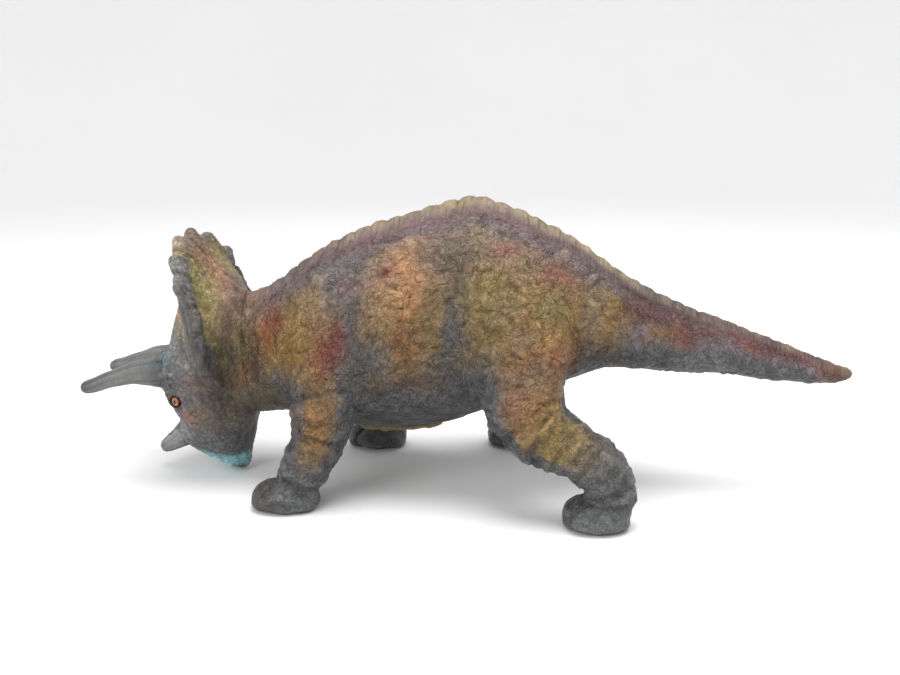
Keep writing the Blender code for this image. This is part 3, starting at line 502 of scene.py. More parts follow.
def legFrame(path):
    # direction across the figure and direction along it, square to the path at each of its points
    tangent = unit(np.gradient(path, axis=0))
    across = unit(np.array((0.0, 1.0, 0.0)) - tangent * tangent[:, 1:2])
    return across, np.cross(across, tangent)


def legForm(leg):
    # ovals square to the leg's path
    path, along, wide = legPath(leg)
    across, forward = legFrame(path)
    turn = np.linspace(0, math.tau, 48, endpoint=False)[None, :, None]
    rings = (
        path[:, None] + along[:, None, None] * np.cos(turn) * forward[:, None]
        + wide[:, None, None] * np.sin(turn) * across[:, None]
    )
    return ringSkin(rings * mm)


def footForm(leg):
    # slipper: superellipse in plan and roof, its underside cut flat by the floor
    x, reach, length, width, height = feet[leg]
    along = np.cos(math.pi * np.linspace(0.03, 0.97, 40))
    plan = (1 - abs(along) ** 2.6) ** (1 / 2.6)
    roof = (1 - abs(along) ** 2.4) ** (1 / 2.4)
    turn = np.linspace(0, math.tau, 56, endpoint=False)
    up = np.where(np.sin(turn) > 0, (height - 6) * roof[:, None], 7.8 * roof[:, None] ** 0.5) * np.sin(turn)
    y = sideOf(leg) * reach + width / 2 * plan[:, None] * np.cos(turn)
    z = np.maximum(6 + up, 0)
    rings = np.stack((np.broadcast_to((x + length / 2 * along)[:, None], y.shape), y, z), -1)
    return ringSkin(rings * mm)


def legMarks(q, leg):
    # for each point: nearest station's share along the leg, and in leg radii the
    # distance from the path and how far the point is in front of it and outside it
    path, along, wide = legPath(leg)
    across, forward = legFrame(path)
    share, far, ahead, out = (np.full(len(q), v, float) for v in (0, 9, 0, 0))
    for k in range(len(path)):
        d = q - path[k]
        f, a = d @ forward[k], d @ across[k] * sideOf(leg)
        t = d - np.outer(d @ forward[k], forward[k]) - np.outer(d @ across[k], across[k])
        r = np.sqrt((f / along[k]) ** 2 + (a / wide[k]) ** 2 + (np.linalg.norm(t, axis=1) / 6) ** 2)
        closer = r < far
        far = np.where(closer, r, far)
        share = np.where(closer, k / (len(path) - 1), share)
        ahead, out = np.where(closer, f / along[k], ahead), np.where(closer, a / wide[k], out)
    return share, far, ahead, out


def lobePhase(x):
    # scallops counted along the crest: their pitch grows from the neck to the top of the back
    places = np.linspace(-138, 230, 400)
    pitch = np.interp(
        places, (-138, -130.2, -59.8, 0, 29.9, 90.2, 160.1, 230), (7.36, 7.41, 9.52, 11.5, 10.49, 9.02, 7.5, 5.01)
    )
    return np.interp(x, places, np.concatenate(((0,), np.cumsum(np.diff(places) / pitch[:-1]))))


def bodyRelief(q, legs):
    # heights in mm along the normal, the crease depth 0..1 and the mask of the striped band
    x, y, z = q.T
    ridge, under, half, crestHeight = trunkAt(x)
    size = np.clip(half / 50, 0.2, 1)
    fromRidge = np.hypot(y, ridge - z)
    onLeg = np.max([ramp(1.5, 1.12, m[1]) * ramp(0.16, 0.34, m[0]) for m in legs.values()], axis=0)
    shank = np.max([ramp(1.6, 1.15, m[1]) * ramp(0.5, 0.68, m[0]) for m in legs.values()], axis=0)
    foot = ramp(17, 10, z)
    band = ramp(1.15, 0.75, fromRidge / (body["crestBand"] * np.sqrt(size))) * (1 - onLeg)
    crest = bell(y, 6.5 * np.sqrt(size)) * ramp(-5, 0, z - ridge + 8 * size) * (1 - onLeg)
    belly = ramp(24, 6, z - under) * (1 - onLeg) * ramp(90, 60, x) * (1 - band)
    neckSide = ramp(-92, -108, x) * (1 - onLeg)

    # crumpled flanks: creases where a crooked noise crosses zero, tilted plates and lumps between them
    warped = stirred(stirred(q, 15, 4.0, 3), 5, 1.5, 11)
    across1 = abs(noise(warped, body["creaseSize"], 21, (1.35, 1, 0.85)))
    across2 = abs(noise(warped + 40, 0.62 * body["creaseSize"], 23, (1.5, 1, 0.8)))
    near, nextNear, own = cobbles(warped, 5.0, 25, (1.3, 1, 0.85))
    lump = ramp(0.0, 0.35, nextNear - near) * (0.5 + 0.5 * own) * (1 - 0.5 * near)
    tilt = noise(warped, 3.4, 27, (1.3, 1, 0.9))
    patchy = 0.7 + 0.3 * noise(q, 24, 53)
    flank = (1 - band) * (1 - 0.7 * belly) * (1 - 0.7 * shank) * (1 - 0.85 * foot) * (1 - 0.55 * neckSide)
    flank = flank * np.interp(size, (0.2, 0.5, 1), (0.4, 0.65, 1))
    height = flank * patchy * body["creaseDepth"] * (ramp(0, 0.3, across1) + 0.5 * ramp(0, 0.3, across2) - 1.2)
    height += flank * patchy * (body["lumpDepth"] * (lump - 0.4) + 0.35 * tilt)
    height += 0.16 * noise(q, 2.8, 51) * (1 - 0.5 * foot) + 0.3 * noise(q, 10, 52)
    crease = flank * np.clip(0.45 * ramp(0.12, 0.0, across1) + 0.25 * ramp(0.1, 0.0, across2), 0, 1)
    crease = np.clip(crease + 0.2 * flank * ramp(0.15, 0.0, nextNear - near), 0, 1)
    height += 0.8 * ramp(86, 108, x) * ramp(22, 8, z - under) * noise(stirred(q, 7, 2, 55), 3.6, 56)

    # long slanting folds over the shoulder and the hip
    slant = np.stack((x * 0.8 + z * 0.6, y, z * 0.8 - x * 0.6), -1)
    fold = 1 - abs(noise(stirred(slant, 14, 4, 61), 7.0, 62, (3.0, 1.4, 0.8)))
    foldWeight = (bell(x + 88, 24) + bell(x - 52, 26)) * bell(z - 84, 34) * (1 - foot) * (1 - band)
    height += foldWeight * 0.8 * (ramp(0.6, 1, fold) - 0.4)

    # the bands between shoulder, ribs and hip are drawn in
    for mid, wide, deep in ((-58, 9, 1.1), (0, 10, 1.3), (30, 30, -0.6)):
        height -= deep * bell(x - mid, wide) * ramp(60, 90, z) * (1 - band) * (1 - onLeg)

    # scallops on the crest, and the stripes that run down from them
    rise = crestHeight / 4.5
    phase = lobePhase(x)
    lobeOwn = cellRandom(np.stack([np.floor(phase).astype(np.int64)] * 3, -1), 71)
    lobe = abs(np.sin(math.pi * phase)) ** body["lobePower"]
    height += crest * body["lobeHeight"] * rise**0.8 * (lobe * (0.85 + 0.3 * lobeOwn) - 0.85)
    stripe = noise(np.stack((x + 0.2 * (ridge - z), y * 0.12, z * 0.1), -1), 1.8, 81)
    stripe = stripe + 0.6 * noise(np.stack((x + 0.2 * (ridge - z), y * 0.12, z * 0.1), -1), 3.4, 82)
    height += band * 0.36 * stripe
    notch = bell((phase - np.round(phase)) * 9, 0.8)
    height -= band * 0.3 * notch * np.sqrt(size)
    pits = ramp(0.55, 0.8, noise(q, 1.9, 84)) * band * (1 - crest)
    crease = np.maximum(crease, band * (0.15 * notch + 0.5 * ramp(0.0, -0.8, stripe)))
    crease = np.maximum(crease, 0.8 * pits)

    # warts of the flank, dressed by their own jitter on the far side
    for wartX, wartZ, radius, high in warts:
        for side in (-1, 1):
            shift = 0 if side < 0 else 5 * math.sin(wartX)
            lean = 0.3 * math.cos(3 * wartX)
            dx, dz = x - wartX - shift, z - wartZ + 0.3 * shift
            far = np.hypot((dx + lean * dz) / 1.6, dz - lean * dx) + 0.5 * noise(q, 4, 87)
            wart = ramp(radius, radius * 0.4, far) * (y * side > 8) * (1 - onLeg)
            height += high * wart
            crease = crease * (1 - 0.6 * wart)
            crease = np.maximum(crease, 0.2 * ramp(radius * 1.3, radius, far) * (1 - wart) * (y * side > 8))

    # fine upright folds of the neck, level ones of the belly
    upright = neckFolds(q)
    height += neckSide * 0.5 * upright
    crease = np.maximum(crease, neckSide * 0.7 * ramp(-0.1, -0.9, upright))
    level = noise(stirred(q, 9, 1.8, 95), 2.7, 96, (4.5, 3.0, 1.0))
    height += belly * 0.5 * level
    crease = np.maximum(crease, belly * 0.75 * ramp(0.0, -0.55, level))

    # ring wrinkles of the shanks, deep creases at elbow and knee
    for leg, (share, far, ahead, out) in legs.items():
        close = ramp(1.5, 1.15, far)
        rings = np.sin(share * (95 if leg.startswith("rear") else 70) + 3.2 * noise(q, 7, 101))
        height += close * ramp(0.42, 0.6, share) * (1 - foot) * 0.34 * rings
        for at, deep in body["rearFolds" if leg.startswith("rear") else "frontFolds"]:
            fromFold = share - at - 0.03 * ahead - 0.02 * noise(q, 9, 103)
            groove = close * bell(fromFold, 0.014) * ramp(-1.2, 0.2, ahead + out)
            height -= deep * groove
            crease = np.maximum(crease, 0.8 * groove)
        # lumps that make the leg's front and back edges uneven
        edgeLump = noise(stirred(q, 7, 2, 105), 5.5, 106, (1, 1, 0.8))
        height += close * ramp(0.3, 0.45, share) * ramp(0.3, 0.9, abs(ahead)) * (1 - 0.4 * foot) * 1.5 * edgeLump
        crease = np.maximum(crease, close * ramp(0.4, 0.55, share) * (1 - foot) * 0.5 * ramp(-0.2, -0.9, rings))

    # toes: lobes round the front of each foot, with a small nail on each
    for leg, (footX, reach, length, width, high) in feet.items():
        dx, dy = x - (footX + 0.12 * length), (y - sideOf(leg) * reach)
        angle = np.degrees(np.arctan2(dy, -dx))
        rim = ramp(0.25, 0.8, np.hypot(dx / (0.62 * length), dy / (0.5 * width)))
        close = ramp(1.35, 1.2, np.hypot(dx / (0.62 * length), dy / (0.5 * width))) * ramp(19, 13, z)
        toe = abs(np.cos(np.radians(angle * 180 / 74)))
        facing = ramp(118, 96, abs(angle))
        clear = 0.4 if leg.startswith("rear") else 1.0
        height += clear * close * rim * facing * (2.2 * toe**0.6 - 1.5)
        split = clear * close * rim * facing * ramp(0.35, 0.0, toe)
        crease = np.maximum(crease, split)
    height, crease = neckSkin(q, height, crease)
    return height, crease, band


def bodyCoat(q, legs, band, crease):
    # airbrushed coat: height bands from belly to crest, then patches, legs and tail
    side = np.where(q[:, 1] < 0, 0.0, 1.0)
    soft = stirred(q + side[:, None] * (7, 0, 3), 13, 4.5, 111)
    x, y, z = (stirred(soft, 4, 1.2, 121)).T
    ridge, under, half, _ = trunkAt(x)
    size = np.clip(half / 50, 0.2, 1)
    up = (z - under) / np.maximum(ridge - under, 5)
    onTail = ramp(86, 108, x)
    coat = np.tile(paints["umber"], (len(q), 1))
    coat = spray("mustard", coat, ramp(0.2, 0.5, up) * (1 - onTail))
    coat = spray("crestGrey", coat, 0.8 * ramp(0.62, 0.86, up) * (1 - onTail))
    coat = sprayPatches(coat, x, z, (
        ("purpleGrey", -62, 128, 30, 20, 28, 0.75), ("purpleGrey", -13, 141, 16, 18, 0, 0.75),
        ("coolGrey", -73, 130, 26, 6, 32, 0.25), ("slate", -58, 100, 9, 30, 0, 0.85),
        ("slate", -52, 84, 16, 13, 0, 0.9), ("slate", 1, 104, 8, 30, 0, 0.97), ("umber", -2, 128, 8, 16, 0, 0.6),
        ("slate", -44, 92, 12, 16, 20, 0.4), ("peach", -27, 133, 18, 20, -10, 0.95), ("sand", -38, 118, 9, 12, 0, 0.4),
        ("ochre", -26, 108, 13, 15, 0, 0.55), ("orange", -25, 97, 9, 9, 0, 0.5), ("wine", -39.5, 134.5, 3.6, 3.0, 20, 0.95),
        ("rose", -33, 132, 8, 5, -10, 0.5), ("rose", -60, 127, 8, 5, 0, 0.3), ("mustard", -89, 100, 11, 26, -6, 0.9),
        ("umber", -26, 98, 13, 15, 0, 0.4), ("umber", -80, 78, 9, 12, 0, 0.45), ("umber", 26, 116, 14, 12, 0, 0.35),
        ("peach", -26, 116, 10, 8, 0, 0.35), ("umber", -13, 112, 5, 26, 0, 0.55), ("peach", 56, 92, 9, 13, 0, 0.45),
        ("umber", -64, 76, 9, 16, 0, 0.6),
        ("sand", -88, 113, 8, 8, 0, 0.4), ("brick", -70, 89, 9.5, 14, 12, 0.9), ("wine", -64, 97, 5, 9, 10, 0.6),
        ("orange", -78, 82, 5, 9, 0, 0.4), ("olive", 18, 122, 15, 16, 0, 0.6),
        ("olive", 53, 118, 11, 12, 0, 0.75), ("ochre", 42, 86, 21, 22, -20, 0.65), ("orange", 58, 84, 10, 14, -20, 0.65),
        ("olive", 16, 100, 9, 20, 0, 0.45), ("rose", 29, 146, 9, 6, 0, 0.75),
        ("rose", 60, 131, 10, 7, -30, 0.7), ("mauve", 45, 149, 22, 6, -30, 0.6), ("coolGrey", 78, 112, 7, 18, 0, 0.35),
        ("mauve", 78, 134, 12, 9, -30, 0.55), ("slate", -8, 84, 10, 8, 0, 0.6), ("olive", -12, 106, 7, 20, 0, 0.35),
        ("umber", -2, 143, 18, 8, 0, 0.45), ("umber", 37, 101, 8, 8, 0, 0.45), ("slate", -70, 60, 7, 9, 0, 0.5),
    ))
    lower = ramp(0.36, 0.16, up + 0.03 * noise(q, 11, 131)) * (1 - onTail)
    lower = lower * (1 - 0.75 * bell(x - 62, 10) * ramp(70, 78, z))
    coat = spray("bellySlate", coat, 0.95 * lower * ramp(-112, -92, x))

    # tail: dark red and mauve above, slate below, warm spots, an orange tip
    tail = np.tile(paints["mauve"], (len(q), 1)) * 0.56
    tail = spray("purpleGrey", tail, ramp(0.75, 0.45, up))
    tail = spray("slate", tail, ramp(0.52, 0.3, up))
    tail = sprayPatches(tail, x, z, (
        ("wine", 108, 112, 16, 8, -24, 0.35), ("mustard", 117, 99, 10, 5, -20, 0.65), ("brick", 129, 95, 9, 5, -20, 0.6),
        ("brick", 171, 88, 12, 5, -20, 0.6), ("paleSlate", 143, 79, 14, 6, -10, 0.8), ("ochre", 220, 75, 12, 8, -20, 0.85),
        ("brick", 197, 82, 10, 4, -20, 0.4), ("sand", 150, 101, 12, 4, -20, 0.3), ("orange", 95, 110, 8, 10, 0, 0.3),
    ))
    coat = coat + onTail[:, None] * (tail - coat)

    # pale crest over a mauve band
    fromRidge = np.hypot(y, ridge - z) / np.sqrt(size)
    coat = spray("purpleGrey", coat, 0.75 * ramp(37, 27, fromRidge) * (1 - onTail))
    coat = spray("bandMauve", coat, 0.9 * ramp(28, 18, fromRidge) * (1 - 0.6 * onTail))
    coat = coat * (1 - ramp(28, 14, fromRidge) * (0.12 + 0.32 * ramp(-40, -80, x) + 0.28 * ramp(30, 60, x)))[:, None]
    coat = spray("coolGrey", coat, 0.3 * bell(fromRidge - 29, 6) * bell(x + 72, 24))
    coat = coat * (1 - 0.22 * bell(x - 94, 15) * ramp(98, 110, z))[:, None]
    coat = spray("crestGrey", coat, 0.85 * ramp(12.5, 7, fromRidge) * ramp(-108, -64, x) * (1 - 0.6 * onTail))
    coat = spray("sand", coat, 0.8 * ramp(9, 4, fromRidge) * ramp(-80, -20, x) * (1 - 0.85 * onTail))

    # legs: warm outer faces that fade to slate at their edges and to grey feet
    for leg, (share, far, ahead, out) in legs.items():
        rear = leg.startswith("rear")
        close = ramp(1.55, 1.1, far) * ramp(0.12, 0.34, share)
        skin = np.tile(paints["slate"], (len(q), 1))
        edge = abs(ahead + 0.3) if rear else abs(ahead) + 0.25
        face = ramp(-0.1, 0.55, out + 0.25 * noise(q, 8, 141)) * ramp(0.95, 0.45, edge + 0.15 * noise(q, 6, 142))
        skin = spray("mustard", skin, 0.9 * face * ramp(0.86, 0.6, share))
        skin = skin * (1 + 0.35 * rear * face * bell(share - 0.5, 0.2))[:, None]
        if rear:
            skin = spray("ochre", skin, 0.5 * face * bell(share - 0.42, 0.1))
            skin = spray("rose", skin, 0.45 * face * bell(share - 0.4, 0.07) * ramp(-0.6, 0.3, ahead))
            skin = spray("olive", skin, 0.6 * face * bell(share - 0.62, 0.09))
        else:
            skin = spray("ochre", skin, 0.5 * face * bell(share - 0.5, 0.13))
            skin = spray("rose", skin, 0.2 * close * ramp(0.1, 0.8, ahead) * bell(share - 0.45, 0.16))
        skin = spray("paleSlate", skin, 0.55 * ramp(0.72, 0.95, share))
        skin = spray("coolGrey", skin, 0.6 * ramp(17, 6, q[:, 2]))
        hide = ramp(0.14, 0.4, share) * ramp(1.55, 1.15, far)
        if rear:
            front = ramp(0.25, 0.6, ahead) * ramp(0.04, 0.2, share) * ramp(86, 74, q[:, 2])
            hide = np.maximum(hide, front * ramp(1.5, 1.2, far))
        keep = ramp(0.5, 0.22, share) * 0.75 * face
        coat = coat + (hide * (1 - keep))[:, None] * (skin - coat)

    coat = spray("slate", coat, ramp(22, 15, q[:, 2]))
    coat = spray("coolGrey", coat, 0.6 * ramp(17, 6, q[:, 2]))

    # speckle, then the creases darkened with the wash brown: a wash that is also painted shade; the dry brush on what
    # stands proud is left to the shader
    level = noise(q, 2.4, 155, (6, 1, 1)) * bell(z - 76, 16) * ramp(20, 40, abs(q[:, 1]))
    coat = coat * (1 + 0.22 * level)[:, None]
    coat = neckCoat(q, coat, ramp(22, 12, abs(aheadOfSeam(q))))
    # the creases darkened brown: a wash that is also painted shade
    return spray("washAndShadeBrown", coat, 0.5 * crease)


def makeBody():
    # fuse the forms, soften the roots of the legs, raise the relief, flatten soles and seam, spray the coat
    forms = [trunkForm()] + [legForm(leg) for leg in legRows] + [footForm(leg) for leg in feet]
    p, quads = fuseForms(forms, body["voxel"] * mm)
    q = p / mm
    edges = quadEdges(quads)
    rootX = np.maximum(bell(q[:, 0] + 76, 34), bell(q[:, 0] - 42, 38))
    soft = 0.5 * rootX * bell(q[:, 2] - 76, 40) * ramp(22, 38, abs(q[:, 1]))
    soft = np.maximum(soft, 0.05)
    q = relax(q, edges, body["blendRounds"], soft)
    legs = {leg: legMarks(q, leg) for leg in legRows}
    n = pointNormals(q, quads)
    height, crease, band = bodyRelief(q, legs)
    relief = cutAtSeam(q + n * height[:, None], -neck["bodyGap"], 1)
    relief[:, 2] = np.maximum(relief[:, 2], 0)
    coat = bodyCoat(q, legs, band, crease)
    mesh = makeMesh("bodySkin", relief * mm, quads)
    tint(mesh, "coat", coat)
    tint(mesh, "marks", np.stack((crease, band, np.clip(0.5 + height / 3, 0, 1)), -1))
    print("body skin:", len(quads) * 2, "triangles")
    return addPiece("bodySkin", mesh, "body", (
        "torso_skin", "tail_skin", "front_leg_left", "front_leg_right", "rear_leg_left", "rear_leg_right",
    ))


# Head: neck, frill and skull cast as one skin

head = {
    "voxel": 0.82,
    "plates": 17,
    "plateHeight": 3.0,
    "fingerHeight": 3.4,  # knobs in the middle of the upper plates
    "sweep": 10.0,
    "skullPower": 0.76,  # 1 is an ellipse, less is fuller at the corners
    "beakLean": 3.0,  # mm, the beak's tip hangs to the left
    "frillMiddle": 98.0,  # height
    "frillHalf": (61.5, 48.0),  # across and up
    "farFlareDrop": 2.6,  # mm, the right horn grows out lower
    "rimWaist": (3.5, -4.0),  # mm, the rim is drawn back beside the left second plate, and forward at the right
}

# height, front x, back x, half width, from the forehead down to the beak
skullRows = (
    (120.4, -166.5, -148.6, 9.7),
    (111.7, -169.3, -141.7, 21.4),
    (98.1, -173.4, -135.7, 29.7),
    (84.1, -176.6, -131.6, 33.5),
    (70.1, -178.0, -129.0, 34.5),
    (60.0, -177.6, -127.7, 33.5),
    (50.1, -176.6, -126.7, 31.0),
    (40.1, -174.8, -125.8, 27.6),
    (30.0, -175.7, -129.0, 22.8),
    (20.9, -173.9, -130.6, 18.6),
    (13.1, -163.8, -132.0, 14.1),
    (7.0, -153.2, -132.9, 9.7),
    (3.1, -144.9, -133.6, 5.9),
)
beakTip = (-137.0, 0.0, 0.8)

# middle x, middle height, half height above and below, half width, lean, sweep
frillRows = (
    (-133.4, 79.4, 41.9, 37.5, 35.8, 0.15, 0.0),
    (-140.3, 85.5, 45.9, 38.4, 44.2, 0.18, 0.2),
    (-147.0, 93.0, 49.7, 41.2, 54.6, 0.22, 0.6),
    (-151.8, 98.9, 48.8, 43.6, 61.0, 0.24, 1.0),
    (-158.2, 98.9, 47.6, 42.9, 60.3, 0.24, 1.0),
    (-159.6, 97.0, 38.4, 35.9, 50.1, 0.24, 0.7),
    (-162.4, 93.0, 22.0, 24.1, 33.8, 0.20, 0.3),
)


def neckRing(sides, turn):
    # the trunk's first ring again, seen from the head
    topX, topZ, bottomX, bottomZ, half, crest = trunkRows[0]
    top, bottom = np.array((topX, 0, topZ)), np.array((bottomX, 0, bottomZ))
    upright = unit(top - bottom)
    halfUp = 0.5 * (np.linalg.norm(top - bottom) - crest)
    middle = 0.5 * (top + bottom) - 0.5 * crest * upright
    across = half * np.cos(turn) * (1 - body["eggShare"] * np.sin(turn))
    height = halfUp * np.sin(turn) + crest * bell(across, 7) * (np.sin(turn) > 0)
    return middle + np.outer(height, upright) + np.outer(across, (0, 1, 0)) - neck["overrun"] * neckAxis


def frillForm():
    # rings from the neck to the rim and over to the face; the rim rows carry the plates
    sides = 204
    turn = np.linspace(0, math.tau, sides, endpoint=False) + math.pi / 2
    plates = abs(np.sin((turn - math.pi / 2) * head["plates"] / 2)) ** 0.45
    rings = [neckRing(sides, turn), neckRing(sides, turn) + (neck["overrun"] + neck["headGap"]) * neckAxis]
    part = (turn - math.pi / 2) * head["plates"] / math.tau
    upper = ramp(0.15, 0.6, np.sin(turn))
    finger = head["fingerHeight"] * upper * bell((part - np.floor(part) - 0.5) * 19, 2.6)
    for row, (x0, z0, above, below, half, lean, sweep) in enumerate(frillRows):
        bump = head["plateHeight"] * (1 - 0.5 * upper) * (plates - 1) + finger if row in (3, 4) else -0.5 * (row > 0)
        z = (np.where(np.sin(turn) > 0, above, below) + bump) * np.sin(turn)
        y = (half + bump) * np.cos(turn)
        x = x0 - lean * z + sweep * head["sweep"] * np.cos(turn) ** 2
        rings.append(np.stack((x, y, z + z0), -1))
    rings = np.array(rings)
    fine = curveRows(rings.reshape(len(rings), -1), 60).reshape(60, sides, 3)
    return ringSkin(fine * mm)


def skullForm():
    # level ovals, fuller than an ellipse at the cheeks
    rows = curveRows([(r[0], 0, 0, r[1], r[2], r[3]) for r in skullRows], 60)
    turn = np.linspace(0, math.tau, 72, endpoint=False)
    c, s = np.cos(turn), np.sin(turn)
    half = (rows[:, 4] - rows[:, 3])[:, None] / 2
    x = (rows[:, 3] + rows[:, 4])[:, None] / 2 + half * np.sign(c) * abs(c) ** head["skullPower"]
    y = rows[:, 5][:, None] * np.sign(s) * abs(s) ** head["skullPower"]
    rings = np.stack((x, y, np.broadcast_to(rows[:, :1], x.shape)), -1)
    return ringSkin(rings * mm, endPole=np.array(beakTip) * mm)


def pathFrame(path):
    # level direction across the path and the one square to both, at each of its points
    tangent = unit(np.gradient(path, axis=0))
    across = unit(np.cross(tangent, (0, 0, 1)))
    return across, np.cross(across, tangent)


def barForm(rows, sides=40, count=40):
    # round rings square to a path, rows of x, y, z, radius
    rows = curveRows(rows, count)
    path, radius = rows[:, :3], rows[:, 3]
    across, up = pathFrame(path)
    turn = np.linspace(0, math.tau, sides, endpoint=False)[None, :, None]
    rings = path[:, None] + radius[:, None, None] * (np.cos(turn) * across[:, None] + np.sin(turn) * up[:, None])
    return ringSkin(rings * mm)


# x, side reach, z, radius of the flares that carry the horns
browFlare = (
    (-154.0, 16.0, 78.0, 17.0), (-163.0, 17.6, 75.0, 15.5), (-172.0, 19.0, 71.4, 13.2), (-180.0, 20.2, 69.2, 10.7),
    (-187.0, 20.9, 68.3, 8.5), (-191.0, 21.2, 68.0, 6.9),
)
noseFlare = ((-156.0, 0.0, 31.0, 14.0), (-166.0, 0.0, 26.4, 11.5), (-173.0, 0.0, 22.6, 9.2), (-178.0, 0.0, 19.2, 6.2))
browMass = (
    (-163.0, 17.5, 70.0, 12.5), (-171.0, 18.4, 63.5, 11.4), (-173.0, 18.8, 56.5, 7.6), (-169.6, 18.4, 50.0, 6.8),
    (-167.4, 17.6, 41.0, 6.4),
)
browRidge = ((-158.0, 28.0, 57.5, 5.0), (-164.0, 27.4, 58.6, 4.4), (-170.0, 25.2, 58.2, 4.0), (-175.5, 20.5, 56.0, 3.6))


def mirrored(rows, side):
    # rows written for one side, set on the given one
    return [(r[0], side * r[1], *r[2:]) for r in rows]


eyes = {
    "radius": 3.7,
    "place": (-170.2, 23.4, 52.0),  # middle of the ball, its side unsigned
    "yaw": 68.0,  # degrees outwards from straight ahead
    "proud": 1.9,  # mm, how far the ball stands out of its lids
    "lidReach": 8.0,
}


def eyeLook(side):
    # the way that the pupil faces
    yaw = math.radians(eyes["yaw"])
    return unit(np.array((-math.cos(yaw), side * math.sin(yaw), -0.05)))


def shapeLids(q):
    # round each eye the skin is drawn to a level along the eye's look: a hollow under the ball, a raised
    # almond lid about it, and its own place again further out; also the lid's crease for the paint
    crease = np.zeros(len(q))
    for side in (-1, 1):
        x, y, z = eyes["place"]
        look = eyeLook(side)
        across = unit(np.cross(look, (0, 0, 1)))
        v = q - np.array((x, side * y, z))
        out, along, up = v @ look, v @ across, v @ np.cross(across, look)
        away = np.hypot(along * 0.9, up * 1.12)
        level = eyes["radius"] - eyes["proud"] + 1.1 * bell(away - 4.6, 1.1) - 3.0 * ramp(4.0, 2.6, away)
        pull = ramp(eyes["lidReach"], 4.8, away) * ramp(-7, -4, out)
        q = q + (pull * (level - out))[:, None] * look
        crease = np.maximum(crease, pull * np.maximum(bell(away - 3.7, 0.6), 0.7 * bell(away - 6.3, 0.6)))
    return q, crease


def fromFrillMiddle(y, z):
    # 0 in the middle of the frill, about 1 at its rim
    across, up = head["frillHalf"]
    return np.hypot(y / across, (z - head["frillMiddle"]) / up)


def headRelief(q, n):
    # heights in mm along the normal and the crease depth
    x, y, z = q.T
    ahead = aheadOfSeam(q)
    face = ramp(-163, -168, x + 0.16 * (z - 90)) * ramp(112, 96, z)
    jaw = ramp(36, 26, z)
    fromMiddle = fromFrillMiddle(y, z)
    frill = ramp(0.62, 0.8, fromMiddle) * ramp(58, 66, z) * ramp(12, 16, ahead)
    rim = ramp(0.86, 0.97, fromMiddle) * frill
    back = (1 - face) * (1 - frill) * ramp(38, 60, z)
    nape = ramp(26, 10, ahead)

    rough = noise(q, 2.2, 201) * 0.5 + noise(q, 6, 202) * 0.5
    net1, net2, own = cobbles(stirred(q, 6, 1.8, 211), 3.6, 212)
    net = ramp(0.02, 0.32, net2 - net1)
    height = 0.28 * rough + 0.38 * (net * (0.6 + 0.4 * own) - 0.6)
    crease = 0.55 * (1 - net)

    # long upright folds between the seam and the frill
    streak = neckFolds(q)
    height += 0.6 * np.maximum(back, nape) * streak
    crease = np.maximum(crease, 0.7 * np.maximum(back, nape) * ramp(-0.1, -0.9, streak))

    # rows of small scales that run out to the rim on the back of the frill
    turn = np.arctan2(z - 92, y)
    scales1, scales2, scaleOwn = cobbles(
        stirred(np.stack((turn * 60, fromMiddle * 50, 0 * x), -1), 7, 1.2, 231), 4.2, 232, (1.2, 0.75, 1)
    )
    scale = ramp(0.02, 0.3, scales2 - scales1)
    behind = frill * ramp(0, 1, n[:, 0] + 0.4)
    height += behind * 0.5 * (scale * (0.6 + 0.4 * scaleOwn) - 0.6)
    crease = np.maximum(crease, 0.75 * behind * (1 - scale))

    # grooves between the rim's plates, and the step behind them
    part = (turn - math.pi / 2) * head["plates"] / 2 / math.pi
    groove = bell((part - np.round(part)) * 10, 0.75) * ramp(0.76, 0.88, fromMiddle) * frill
    step = bell((fromMiddle - 0.84) * 40, 1.4) * frill * ramp(24, 40, abs(y))
    height += 0.5 * rim - 1.3 * groove - 0.8 * step + 0.5 * rim * noise(q, 4.5, 235)
    crease = np.maximum(crease, np.maximum(0.75 * groove, 0.7 * step))

    # corner of the mouth, wrinkles below the eye, nostrils, the beak's hooked edge
    for side in (-1, 1):
        sideways = ramp(3, 7, side * y)
        lip = 24.0 + 0.22 * (x + 150) + 0.6 * noise(q, 6, 241)
        mouth = bell(z - lip, 0.75) * ramp(-172, -168, x) * ramp(-136, -141, x) * sideways
        height -= 0.5 * mouth
        crease = np.maximum(crease, 0.4 * mouth)
        cheek = bell(np.hypot(x + 162, (z - 42) * 0.9), 9) * sideways
        pits = noise(stirred(q, 4, 1.5, 251), 1.9, 252, (1.6, 1, 0.8))
        height += cheek * 0.6 * pits
        crease = np.maximum(crease, cheek * ramp(0.1, -0.4, pits))
        nostril = bell(np.hypot(x + 168.5, (z - 23.5) * 1.3), 1.9) * sideways
        height -= 1.8 * nostril
        crease = np.maximum(crease, nostril)
    edge = bell(z - 9.5 - 0.25 * (x + 150), 1.3) * jaw
    height -= 0.5 * edge * ramp(2, 5, abs(y))

    # rough collar where each horn grows out
    for side in (-1, 1):
        root = np.linalg.norm((q - np.array((-180.5, side * 20.2, 68.8))) * (1.1, 1, 1), axis=1)
        collar = bell(root - 11.5, 5)
        pitted = noise(stirred(q, 4, 1.2, 261), 2.4, 262)
        height += collar * 0.7 * pitted
        crease = np.maximum(crease, collar * ramp(0.15, -0.35, pitted))
    return neckSkin(q, height, crease)


